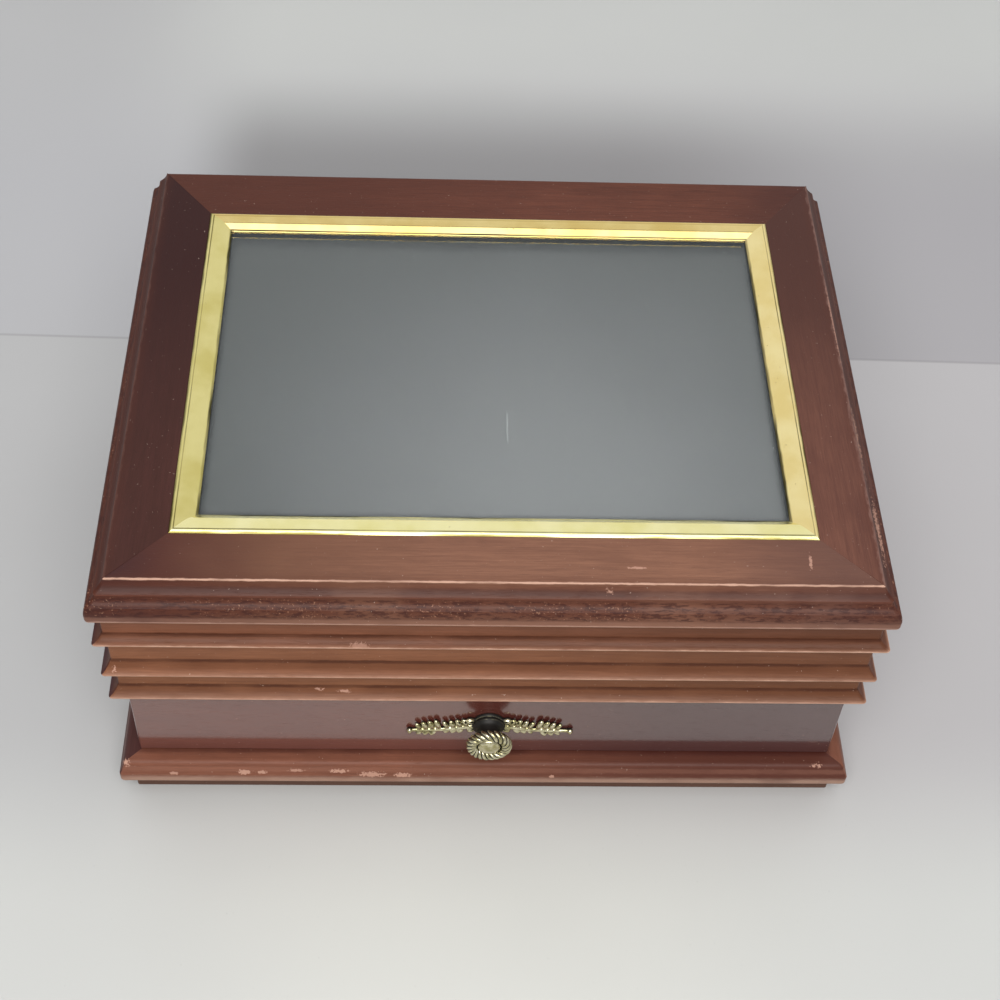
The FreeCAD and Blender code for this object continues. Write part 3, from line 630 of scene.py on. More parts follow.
def polished_brass(name, along, lines, deep, pale):
    """Bright lacquered brass: fine lengthwise scratches, tarnish spots, and painted shade and reflections in lines
    along its edges.
    """
    g = surface(name)
    scratches = g.streaks(along, 30, 5200, 3, 0.6)
    spots = g.between(g.noise(850), 0.71, 0.77)
    colour = g.mix(g.between(g.noise(60, 3, 0.55), 0.3, 0.7), deep, pale)
    colour = g.mix(g.times(spots, 0.4), colour, "#8e7b3c")
    roughness = g.scale_add(scratches, 0.14, 0.10)
    roughness = g.scale_add(spots, 0.2, roughness)
    ragged = g.streaks(along, 120, 900, 3, 0.6)
    patchy = g.between(g.noise(30), 0.38, 0.60, 0.45, 1.0)
    # The lines paint shade and reflections along the edges, and roughen the brass there.
    for p, width, share, line_colour in lines:
        away = g.stirred(g.size(g.minus(g.attribute("reach"), p)), ragged, width)
        edge_shading = g.times(g.between(away, width, width * 0.3), g.times(patchy, share))
        colour = g.mix(edge_shading, colour, line_colour)
        roughness = g.scale_add(edge_shading, 0.2, roughness)
    normal = g.bump(scratches, 0.00002, 0.22)
    return g.shader(Base_Color=colour, Metallic=1.0, Roughness=roughness, Normal=normal)


def antique_brass(name):
    """Cast brass, bright where it is rubbed, dark with patina in its hollows and with painted shade behind the knob's
    head and on surfaces turned away from the front.
    """
    g = surface(name)
    blotch = g.noise(950, 3, 0.6)
    # Dark where patina lies in hollows and where shade is painted.
    dark = g.between(g.stirred(g.attribute("hollow"), blotch, 0.35), 0.30, 0.66)
    bright = g.mix(blotch, "#a69d72", "#f4eed2")
    olive = g.between(g.noise(420, 3, 0.6), 0.42, 0.62, 0.0, 0.6)
    bright = g.mix(olive, bright, "#857d38")
    return g.shader(
        Base_Color=g.mix(dark, bright, "#120f0b"),
        Metallic=g.minus(1.0, g.times(dark, 0.7)),
        Roughness=g.scale_add(dark, 0.30, 0.24),
        Normal=g.bump(g.noise(2600, 3, 0.6), 0.00005, 0.4),
    )


def hardware_metal(name, pale, deep, roughness):
    """Plated steel or brass with brushed marks and a little tarnish."""
    g = surface(name)
    brushed = g.streaks("X", 90, 3600, 3, 0.6)
    colour = g.mix(g.between(g.noise(420, 3, 0.55), 0.35, 0.75, 0.0, 0.6), pale, deep)
    colour = g.mix(g.times(g.attribute("arris"), 0.5), colour, "#f1ead2")
    rough = g.scale_add(brushed, 0.2, roughness - 0.1)
    return g.shader(Base_Color=colour, Metallic=1.0, Roughness=rough, Normal=g.bump(brushed, 0.00002, 0.3))


def velvet(name, dark, light, seed=0.0):
    """Short pile: brushed lighter and darker in patches, with a fine nap and a soft sheen."""
    g = surface(name)
    brushed = g.noise(17, 3, 0.5, g.scaled((1, 2.2, 1.5), (seed, seed, 0)))
    pile = g.noise(3800, 2, 0.7)
    lint = g.between(g.noise(1300), 0.74, 0.78, 0, 0.35)
    colour = g.mix(g.between(brushed, 0.30, 0.70), dark, light)
    colour = g.mix(g.times(pile, 0.35), colour, "#1d040c")
    return g.shader(
        Base_Color=g.mix(lint, colour, "#a0707a"),
        Roughness=g.scale_add(brushed, 0.15, 0.78),
        Normal=g.bump(brushed, 0.0012, 0.2, g.bump(pile, 0.00035, 0.55)),
        Sheen_Weight=0.55,
        Sheen_Roughness=0.35,
        Sheen_Tint="#d59aa6",
        Specular_IOR_Level=0.15,
    )


def paper(name):
    """Grey mount card behind the glass, with a painted pool of light over its middle and a painted shadow along its
    back edge and beside the side strips.
    """
    g = surface(name)
    fibres = g.noise(2600, 3, 0.6, g.scaled((1, 1.7, 1)))
    x, y, _ = g.place()
    cloud = g.times(g.minus(g.noise(14, 3), 0.5), 0.03)
    off = g.size(g.minus(g.plus(x, cloud), 0.015))
    # Painted pool of light: lighter towards the middle and the front.
    lit = g.times(g.between(off, 0.130, 0.0), g.between(g.plus(y, cloud), 0.095, -0.060))
    colour = g.mix(lit, "#3a3b3b", "#6c6b6d")
    colour = g.mix(g.times(fibres, 0.12), colour, "#3a3c3d")
    # Painted shadow along the back edge and beside the side strips.
    edge = (BRASS_BACK - BRASS_WIDTH) * MM
    wavy = g.stirred(y, g.noise(60, 3, 0.6), 0.0020)
    colour = g.mix(g.between(wavy, edge - 0.0085, edge - 0.0008, 0.0, 0.9), colour, "#0f1415")
    side = (BRASS_HALF - BRASS_WIDTH) * MM
    colour = g.mix(g.between(g.size(x), side - 0.0022, side - 0.0004, 0.0, 0.7), colour, "#14191a")
    normal = g.bump(fibres, 0.00004, 0.4)
    return g.shader(Base_Color=colour, Roughness=0.85, Normal=normal, Specular_IOR_Level=0.2)


def pane(name):
    """Window glass that lets lamps through, with dust and a few scratches."""
    g = surface(name)
    dust = g.between(g.noise(900), 0.735, 0.765)
    smear = g.noise(26, 3, 0.6, g.scaled((1, 2.2, 1)))
    inputs = {
        "Base Color": "#f4f8f7",
        "Roughness": g.scale_add(smear, 0.06, 0.03),
        "IOR": 1.46,
        "Transmission Weight": 1.0,
    }
    glass = g.node("BsdfPrincipled", inputs).outputs[0]
    grit = g.node("BsdfDiffuse", {"Color": "#c8cdcb"}).outputs[0]
    x, y, _ = g.place()
    aside = g.size(g.minus(g.stirred(x, g.noise(120), 0.0012), 0.0040))
    lengthwise = g.between(g.size(g.plus(y, 0.026)), 0.0075, 0.003)
    scratch = g.times(g.between(aside, 0.00032, 0.00008), lengthwise)
    chip = spot_mask(g, (-52.9, -32.3, low("window_glass").z + 2), (0.35, 0.35, 9), smear)
    marks = g.math("MAXIMUM", g.times(dust, 0.4), g.times(scratch, 0.16))
    marks = g.math("MAXIMUM", marks, g.times(chip, 0.6))
    surface_shader = g.node("MixShader", {0: marks, 1: glass, 2: grit}).outputs[0]
    clear = g.node("BsdfTransparent", {"Color": "#f7fbfa"}).outputs[0]
    lamps = g.node("LightPath").outputs["Is Shadow Ray"]
    return g.finish(g.node("MixShader", {0: lamps, 1: surface_shader, 2: clear}).outputs[0])


# ---- wooden mouldings

LINER_GAP = 0.4  # between the lid rails' inner ledge and the padded panel
FLARE_HEIGHTS = {"top_moulding": 3.2, "middle_moulding": 5.2, "lower_moulding": 4.3}
FLARE_DEPTH = 2.8
NOSE = 1.1
BASE_DEPTH = 17.0  # ledge of the base moulding, under the boards
BACK_STEP = -0.02  # further in than this, the base moulding's side runs end at the back board


def lid_outline(face, ledge):
    """Moulded rail of the lid: worn top arris, cove, step, second cove, swell and rounded band."""
    top, bottom, reach = LID_TOP, LID_BOTTOM, EDGE_REACH
    return [
        (-face, top, 0.25),
        (0, top, 0.45),
        *arc((0, top), (0.8, top - 1.8), (2.0, top - 3.0))[:-1],
        (2.0, top - 3.0, 0.2),
        (2.8, top - 3.6, 0.22),
        (2.8, top - 4.2, 0.1),
        *arc((2.8, top - 4.2), (3.46, top - 5.9), (5.0, top - 6.85))[:-1],
        (5.0, top - 6.85, 0.35),
        *arc((5.0, top - 6.85), (5.63, top - 8.375), (reach, top - 9.9), 4),
        (reach, bottom + 1.6),
        *arc((reach, bottom + 1.6), (reach - 0.47, bottom + 0.47), (reach - 1.6, bottom), 5),
        (0.0, bottom),
        (-face - ledge, bottom, 0.2),
        (-face - ledge, BRASS_SEAT),
        (-face, BRASS_SEAT),
    ]


def case_outline(z0, z1, reach, fillet, flare):
    """One row of the case moulding: tall fillet that flares out to a rounded nose."""
    start, end = (reach, z0 + NOSE), (fillet, z0 + flare)
    run, rise = end[0] - start[0], end[1] - start[1]
    bow = 0.45 / math.hypot(run, rise)
    middle = ((start[0] + end[0]) / 2 - bow * rise, (start[1] + end[1]) / 2 + bow * run)
    return [
        (0.0, z0),
        (reach - NOSE, z0),
        *arc((reach - NOSE, z0), (reach - NOSE * 0.293, z0 + NOSE * 0.293), start, 5)[:-1],
        (*start, 0.35),
        *arc(start, middle, end, 8)[:-1],
        (*end, 0.3),
        (fillet, z1, 0.25),
        (0.0, z1),
    ]


def base_outline(z0, z1, reach):
    """Base moulding: ledge, rounded shoulder, sloping face and upright band."""
    slope = z1 - 1.8
    return [
        (-BASE_DEPTH, z0),
        (BACK_STEP, z0),
        (0.0, z0),
        (reach - 1.5, z0),
        *arc((reach - 1.5, z0), (reach - 0.44, z0 + 0.44), (reach, z0 + 1.5), 5),
        (reach, z0 + 4.3, 0.3),
        (5.2, slope, 0.1),
        *arc((5.2, slope), (4.61, z1 - 0.45), (3.3, z1), 5),
        (0.0, z1),
        (BACK_STEP, z1),
        (-BASE_DEPTH, z1),
    ]


def make_lid_rails():
    """The lid's mitred rails, each with its own grain and wear, and with painted light and shade: each rail's tone,
    darker ends, and shade and highlights along the moulded edge.
    """
    bottom, top = LID_BOTTOM, LID_TOP
    front_ledge = low("lid_padded_panel").y - LINER_GAP - BRASS_FRONT
    side_ledge = BRASS_HALF - high("lid_padded_panel").x - LINER_GAP
    over = EDGE_REACH + 0.5
    front_end = [(-SIDE_FACE - front_ledge, BRASS_HALF - side_ledge), (-SIDE_FACE, BRASS_HALF), (over, SIDE + over)]
    back_end = [(-BACK_FACE - front_ledge, BRASS_HALF - side_ledge), (-BACK_FACE, BRASS_HALF), (0, SIDE)]
    inner = -SIDE_FACE - side_ledge
    side_start = [(inner, BRASS_FRONT + front_ledge), (-SIDE_FACE, BRASS_FRONT), (over, FRONT - over)]
    side_end = [(inner, BRASS_BACK - front_ledge), (-SIDE_FACE, BRASS_BACK), (0, BACK), (over, BACK)]
    # Along the moulded edge: the broad dark band and the dark line in the first cove are painted shade; the lighter
    # lines at the step and on the lower band are painted highlights.
    lines = [
        (3.2, top - 5.2, 8.8, 0.85, "#4d2517", 0.2),
        (1.5, top - 2.6, 1.5, 0.5, "#32130d", 0.9),
        (2.9, top - 3.9, 0.42, 0.45, "#7d4d3e", 1.6),
        (5.9, bottom + 2.4, 1.8, 0.5, "#8d6351", 0.8),
        (5.8, bottom + 1.0, 1.0, 0.75, "#b9917f", 1.0),
    ]
    flecked = (4.6, top - 7.0, 3.4)
    front_spots = [
        ((88.7, -77.4, top), (0.5, 2.6, 1.5), 0.7),
        ((38.9, -80.1, top), (2.6, 0.5, 1.5), 0.65),
        ((31.3, -87.5, top - 1.6), (1.4, 1.2, 1.0), 0.6),
        ((39.8, -90.6, top - 4.6), (3.0, 1.0, 1.2), 0.6),
    ]
    right_spots = [
        ((110.0, -30.0, top - 1.2), (0.9, 16.0, 1.4), 0.6),
        ((111.0, -63.0, top - 2.2), (1.0, 13.0, 1.6), 0.65),
        ((108.9, 20.0, top), (0.5, 20.0, 0.8), 0.45),
    ]
    # Each rail's tones are painted by how the light falls on it, the front lightest and the left darkest; shaded
    # darkens them towards ends where the light falls off.
    front = wood(
        "mahogany_lid_front", "X", "#684536", "#8a604b", 1.3,
        spots=front_spots,
        shaded=[
            ("X", -10, -75, 0.85, "#62402f"),
            ("X", -58, -94, 0.95, "#48241c"),
            ("X", -86, -112, 0.9, "#33181a"),
            ("X", 55, 100, 0.75, "#573a33"),
        ],
        lines=[*lines, (-0.1, top + 0.05, 0.55, 0.85, "#c79f8a", 1.6)],
        flecked=flecked,
    )
    right = wood(
        "mahogany_lid_right", "Y", "#523027", "#6e4638", 4.1,
        spots=right_spots,
        shaded=[("Y", -55, 55, 0.95, "#43241c")],
        lines=[*lines, (0.1, top, 1.1, 0.42, "#8a6c62", 3.0)],
        flecked=flecked,
    )
    left = wood(
        "mahogany_lid_left", "Y", "#391f19", "#462722", 7.7,
        specular=0.15,
        coat=0.02,
        shaded=[("Y", -60, 50, 0.9, "#2f1513")],
        lines=[*lines, (0.0, top, 0.7, 0.2, "#7d5f55", 2.5)],
        flecked=flecked,
    )
    # Painted shade: the back rail darkens towards both ends.
    back_shades = [("X", 40, -70, 0.7, "#451f13"), ("X", 70, 104, 0.6, "#381a16")]
    back = wood("mahogany_lid_back", "X", "#492417", "#683a2a", 11.9, shaded=back_shades)
    back_inner = -BACK_FACE - front_ledge
    back_outline = [
        (-BACK_FACE, top, 0.25),
        (0, top, 0.8),
        (0, bottom, 0.3),
        (back_inner, bottom, 0.2),
        (back_inner, BRASS_SEAT),
        (-BACK_FACE, BRASS_SEAT),
    ]
    side_outline = lid_outline(SIDE_FACE, side_ledge)
    runs = {
        "front": (lid_outline(SIDE_FACE, front_ledge), mirrored(front_end), front_end, front, ()),
        "right": (side_outline, side_start, side_end, right, (0.0,)),
        "left": (side_outline, side_start, side_end, left, (0.0,)),
        "back": (back_outline, mirrored(back_end), back_end, back, ()),
    }
    for facing, (outline, start, end, finish, folds) in runs.items():
        sweep("lid_rail_" + facing, facing, softened_outline(outline), start, end, finish, folds=folds)


def case_ends(facing, wide, back_end):
    """Ends of a moulding on the carcass, mitred at the front corners."""
    if facing == "front":
        end = [(0, SIDE), (wide, SIDE + wide)]
        return mirrored(end), end
    return [(0, FRONT), (wide, FRONT - wide)], back_end


def make_case_mouldings():
    """Three rows of case moulding and the base moulding, mitred at the front corners."""
    # The third colour of each row is the painted highlight on its nose.
    rows = {
        "top_moulding": ("#643d2a", "#83523c", "#d2ab95", [((-38.5, -91.0, 82.6), (3.0, 2.0, 0.5), 0.5)]),
        "middle_moulding": ("#70452e", "#905e42", "#c49c86", [((-109.9, -91.0, 68.5), (1.1, 2.0, 1.6), 0.9)]),
        "lower_moulding": (
            "#6d442e", "#8c5c40", "#c49c86",
            [((-51.0, -89.0, 56.2), (1.6, 1.6, 0.6), 0.75), ((-43.6, -89.0, 55.6), (2.0, 1.6, 0.5), 0.7)],
        ),
    }
    for row, (name, (dark, light, nose, spots)) in enumerate(rows.items()):
        z0, z1 = low(name + "_front").z, high(name + "_front").z
        reach = FRONT - low(name + "_front").y
        fillet, flare = reach - FLARE_DEPTH, FLARE_HEIGHTS[name]
        outline = softened_outline(case_outline(z0, z1, reach, fillet, flare), 3)
        # Painted shade: a broad dark band and a dark line at the top of the flare, under the nose above. Painted
        # highlights: two light lines on the nose. Last, a dark line along the fillet's top, against the row above.
        lines = [
            (fillet + 0.7, z0 + flare - 1.1, 2.6, 0.6, "#57301a", 0.4),
            (fillet, z0 + flare, 1.0, 0.75, "#3f1b0b", 0.9),
            (reach + 0.2, z0 + 0.7, 1.5, 0.5, "#a98069", 0.4),
            (reach + 0.1, z0 + 0.6, 0.8, 0.8, nose, 0.9),
            (fillet, z1, 0.5, 0.4, "#4a271b", 1.0),
        ]
        # Painted shade: the side runs are darker, the left darkest, and the front darkens towards the right.
        looks = {
            "front": ((dark, light), {"lines": lines, "spots": spots, "shaded": [("X", -25, 85, 0.42, "#41200f")]}),
            "right": (("#54301f", "#6b4030"), {"lines": lines}),
            "left": (("#34191a", "#472625"), {"lines": lines[:2]}),
        }
        for facing, (tones, extra) in looks.items():
            seed = row * 3.1 + len(facing)
            finish = wood(f"mahogany_{name}_{facing}", run_axis(facing), *tones, seed, **extra)
            ends = case_ends(facing, reach + 1, [(0, BACK)])
            sweep(f"{name}_{facing}", facing, outline, *ends, finish)

    z0, z1 = low("base_moulding_front").z, high("base_moulding_front").z
    reach = FRONT - low("base_moulding_front").y
    # The light band low on the upright band is a painted reflection, the faint lighter line lies near the top of the
    # sloping face, and the dark line where the ledge meets the boards is a painted shadow under the drawer front.
    lines = [
        (reach, z0 + 1.2, 3.8, 0.8, "#a98775", 0.4),
        (5.3, z0 + 6.6, 1.5, 0.25, "#946756", 1.0),
        (-0.2, z1, 2.0, 0.6, "#3a1512", 0.5),
    ]
    face = -91.9
    scuffs = [
        ((-76.0, face, 14.2), (2.2, 2.5, 0.9), 0.85),
        ((-70.5, face, 14.0), (1.6, 2.5, 0.7), 0.8),
        ((-60.0, face, 14.8), (2.6, 2.5, 0.5), 0.65),
        ((-46.5, face, 14.6), (3.2, 2.5, 0.7), 0.8),
        ((-36.0, face, 13.4), (4.0, 2.5, 1.2), 0.75),
        ((-26.3, face, 13.2), (3.0, 2.5, 0.9), 0.8),
        ((-98.0, face, 13.6), (1.3, 2.5, 0.6), 0.7),
        ((20.5, face, 13.0), (0.9, 2.5, 0.8), 0.7),
        ((104.7, -89.5, 16.9), (2.6, 1.2, 0.6), 0.75),
        ((-113.2, -91.0, 18.0), (1.6, 2.0, 2.2), 0.9),
    ]
    # Painted shade: the left run is darker, and the front darkens towards the right.
    plain = ("#643c2d", "#804f3c")
    looks = {
        "front": (plain, {"spots": scuffs, "shaded": [("X", -30, 75, 0.85, "#4a241b")]}),
        "right": (plain, {}),
        "left": (("#3b1f1c", "#4f2c28"), {"spots": scuffs[-1:]}),
    }
    outline = softened_outline(base_outline(z0, z1, reach), 3)
    back_end = [(-BASE_DEPTH, BACK - BOARD), (BACK_STEP, BACK - BOARD), (0, BACK), (reach + 1, BACK)]
    for facing, (tones, extra) in looks.items():
        finish = wood("mahogany_base_" + facing, run_axis(facing), *tones, 20.0 + len(facing), lines=lines, **extra)
        ends = case_ends(facing, reach + 1, back_end)
        folds = () if facing == "front" else (0.0, BACK_STEP)
        sweep("base_moulding_" + facing, facing, outline, *ends, finish, folds=folds)


def make_boards():
    """Boards of the carcass and the drawer."""
    # The drawer front darkens towards the right: painted shade.
    satin = wood(
        "satin_drawer_front", "X", "#5b2e26", "#6b3a2e", 41.0,
        roughness=0.22,
        coat=1.0,
        coat_roughness=0.13,
        coat_ior=1.72,
        specular=0.45,
        dull=(25.5, 20.0, 0.35),
        sway=1.6,
        shaded=[("X", -35, 60, 0.85, "#3b1a1b")],
        worn="#a8857a",
    )
    # The left side board is painted darker than the right: painted shade.
    softened("side_board_left", 0.3, wood("mahogany_carcass_left", "Y", "#2f1716", "#432424", 35.0))
    softened("side_board_right", 0.3, wood("mahogany_carcass_side", "Y", "#532c1f", "#6e4230", 31.0))
    lying = wood("mahogany_carcass", "X", "#532c1f", "#6e4230", 33.0)
    for node in ("front_board", "back_board"):
        softened(node, 0.3, lying)
    softened("drawer_front", 0.25, satin, segments=3)
    under = wood("dark_bottom", "X", "#523a30", "#6b4d40", 51.0, roughness=0.7, coat=0.0, worn="#6a5044")
    softened("bottom_board", 0.5, under)
    plain = wood("drawer_sides", "Y", "#6a4431", "#8d6248", 61.0, roughness=0.55)
    for node in ("drawer_side_left", "drawer_side_right"):
        softened(node, 0.4, plain)
    softened("drawer_back", 0.4, wood("drawer_back", "X", "#6a4431", "#8d6248", 63.0, roughness=0.55))
    panel = wood("hardboard", "X", "#5a3d2b", "#6f4d38", 71.0, roughness=0.75, coat=0.0, sway=3.0)
    for node in ("drawer_bottom", "compartment_shelf", "backing_board"):
        softened(node, 0.1, panel, segments=1)


# ---- photo window


def make_brass_strips():
    """Convex brass strips with tight rounded edges, mitred at the corners."""
    crown, top, width = high("brass_strip_front").z, LID_TOP, BRASS_WIDTH
    outline = [
        (0, BRASS_SEAT),
        (0, top - 0.1, 0.1),
        (-0.25, top + 0.08),
        (-0.65, top + 0.34),
        (-1.1, top + 0.47),
        (-2.2, crown - 0.03),
        (-3.4, crown),
        (-4.6, crown - 0.12),
        (-5.3, top + 0.24),
        (-6.0, top - 0.18),
        (-6.7, top - 0.66),
        (-7.15, top - 0.9, 0.2),
        (-width, top - 1.0, 0.2),
        (-width, BRASS_SEAT),
    ]
    # Lit and shaded copies of one brass: each strip's tones are painted lighter or darker by how the light falls on
    # its side.
    tones = {
        "front": ("#f4ea9f", "#fff7bb"),
        "back": ("#dfc377", "#eed792"),
        "right": ("#f0d88f", "#fbe9a9"),
        "left": ("#d8ca7b", "#e8dc95"),
    }
    for facing, (deep, pale) in tones.items():
        face = -BACK_FACE if facing == "back" else -SIDE_FACE
        if facing in ("front", "back"):
            end = [(face - width, BRASS_HALF - width), (face, BRASS_HALF)]
            start = mirrored(end)
        else:
            start = [(face - width, BRASS_FRONT + width), (face, BRASS_FRONT)]
            end = [(face - width, BRASS_BACK - width), (face, BRASS_BACK)]
        # Painted shade and reflections along each strip: a dark olive line on the outer slope and a dark line beside
        # the glass; on the back strip a muted gold line outside and a black line near the glass. A dark line at the
        # outer foot is added to all.
        edge_shading = [(face - 1.3, 0.25, 0.8, "#5a4d1c"), (face - 7.5, 0.8, 0.95, "#262409")]
        if facing == "back":
            edge_shading = [(face - 1.6, 0.5, 0.4, "#a98a3a"), (face - 7.1, 0.28, 1.0, "#15130a")]
        node = "brass_strip_" + facing
        finish = polished_brass(node, run_axis(facing), [(face, 0.75, 0.95, "#5d5320"), *edge_shading], deep, pale)
        moved = [(p + face, z) for p, z in softened_outline(outline, 3)]
        sweep(node, facing, moved, start, end, finish, "_polished", 3.0, 0.0, 0.05)


CARD_GAP = 0.03  # between the card and the glass


def make_window():
    """Pane of glass and the grey card under it."""
    softened("window_glass", 0.15, pane("window_pane"))
    card = softened("photo_insert", 0.03, paper("mount_card"), segments=1)
    for vertex in card.data.vertices:
        if vertex.co.z > (low("window_glass").z - CARD_GAP / 2) * MM:
            vertex.co.z -= CARD_GAP * MM


# ---- pull

PULL_AXIS = (low("pull_screw").z + high("pull_screw").z) / 2
KNOB_REACH = FRONT - low("pull_knob").y
ROPE_RING, ROPE_TUBE, ROPE_STRANDS, ROPE_SLANT = 5.4, 1.75, 21, 4
PLATE_BOSS = 1.3  # height of the plate's middle
STEM_DROP, STEM_SAG, STEM_SPAN = 4.0, 1.2, 25.1
CAST_VOXEL = 0.19  # cell in which the plate's parts are cast together


def pull_place(u, w, out):
    """Point of the pull: u to the right, w up and out from the drawer's face, from the knob's axis."""
    return (u, FRONT - out, PULL_AXIS + w)


def make_knob(finish):
    """Turned knob: foot, neck, rope rim of slanting strands and a plain dome."""
    shape, hollow, rows = Shape(), [], []
    around, over = ROPE_STRANDS * 12, 36
    for i in range(over):
        v = math.tau * i / over
        row = []
        for j in range(around):
            u = math.tau * j / around
            bulge = abs(math.cos((ROPE_STRANDS * u + ROPE_SLANT * v) / 2)) ** 0.55
            radius = ROPE_TUBE - (1 - bulge) * 0.62
            across = ROPE_RING + radius * math.cos(v)
            out = KNOB_REACH - ROPE_TUBE + radius * math.sin(v)
            row.append(pull_place(across * math.cos(u), across * math.sin(u), out))
            # Dark in the grooves between strands (patina) and on the rim's side towards the drawer (painted shade).
            hollow.append(min(1.0, (1 - bulge) * 1.25 + max(0.0, -math.sin(v) - 0.2)))
        rows.append(row)
    shape.skin(rows, closed=True, capped=False)

    # Each station's third number is how dark it is: the dome stays bright, and the neck and foot behind the head get
    # painted shade.
    profile = [
        (0.02, KNOB_REACH - 0.02, 0.0),
        (1.2, KNOB_REACH - 0.06, 0.0),
        (2.2, KNOB_REACH - 0.2, 0.0),
        (2.9, KNOB_REACH - 0.45, 0.05),
        (3.3, KNOB_REACH - 0.75, 0.2),
        (3.5, KNOB_REACH - 1.25, 0.9),
        (3.75, KNOB_REACH - 1.5, 1.0),
        (4.3, KNOB_REACH - 1.6, 1.0),
        (5.2, KNOB_REACH - 1.9, 1.0),
        (5.4, KNOB_REACH - 2.9, 0.9),
        (4.7, KNOB_REACH - 3.3, 0.8),
        (4.1, KNOB_REACH - 3.9, 0.9),
        (3.85, KNOB_REACH - 4.8, 0.8),
        (3.85, PLATE_BOSS + 2.2, 0.8),
        (4.1, PLATE_BOSS + 1.5, 0.9),
        (4.8, PLATE_BOSS + 0.9, 0.6),
        (4.8, PLATE_BOSS + 0.5, 0.7),
        (4.8, PLATE_BOSS + 0.02, 0.8),
    ]
    count = 72
    shape.skin([[pull_place(u, w, out) for u, w in circle(radius, count)] for radius, out, _ in profile], capped=False)
    for *_, depth in profile:
        hollow += [depth] * count
    stand_for(shape.made("pull_knob_rope", finish, 55, hollow=hollow), "pull_knob")


def add_tube(shape, path, radii, flat=1.0):
    """Closed tube round a path in the pull's plane. Its height above the face is flat times its radius."""
    rings = []
    for i, (u, w, out) in enumerate(path):
        before, after = path[max(0, i - 1)], path[min(len(path) - 1, i + 1)]
        along = Vector((after[0] - before[0], after[1] - before[1], 0)).normalized()
        side = Vector((-along.y, along.x, 0))
        ring = []
        for across, up in circle(1, 14):
            offset = side * across * radii[i]
            ring.append(pull_place(u + offset.x, w + offset.y, out + up * radii[i] * flat))
        rings.append(ring)
    shape.skin(rings)


def add_lobe(shape, root, bend, tip, thick, lift=0.55):
    """Comma-shaped leaf: thin at its root, swelling to a round bright tip."""
    steps = 12
    path, radii = [], []
    for i in range(steps + 1):
        t = i / steps
        swell = 0.55 + 0.45 * math.sin(math.pi * min(1.0, 0.08 + t * 0.66)) ** 1.2
        close = math.sqrt(max(0.02, 1 - max(0.0, (t - 0.8) / 0.2) ** 2))
        path.append((*curve(root, bend, tip, t), 0.45 + lift * math.sin(math.pi * min(1, t * 0.75))))
        radii.append(thick * swell * close)
    add_tube(shape, path, radii)


def stem_w(u):
    """Height of the stem's centre line below the knob's axis."""
    share = abs(u) / STEM_SPAN
    return -STEM_DROP * share - STEM_SAG * math.sin(math.pi * share)


def add_leaves(shape, side, start, heights):
    """One cluster: a web with tall leaves above the stem and short ones below."""
    web = [(side * (start - 0.6 + 1.0 * i), stem_w(start + i) + 1.5 - 0.08 * i, 0.1) for i in range(8)]
    add_tube(shape, web, [1.0, 1.5, 1.7, 1.7, 1.6, 1.5, 1.3, 0.9], 0.22)
    for number, top in enumerate(heights):
        u = start + number * 1.98
        root = (side * (u - 0.5), stem_w(u) + 0.3)
        bend = (side * (u - 0.9), (stem_w(u) + top) / 2 + 0.7)
        add_lobe(shape, root, bend, (side * (u + 0.75), top), 0.86 - 0.03 * number)
    for number, length in enumerate((2.7, 2.4, 2.0)):
        u = start + 0.3 + number * 2.1
        root = (side * u, stem_w(u) - 0.3)
        bend = (side * (u + 0.3), stem_w(u) - length * 0.62)
        add_lobe(shape, root, bend, (side * (u + 2.0), stem_w(u) - length), 0.74 - 0.05 * number, 0.2)


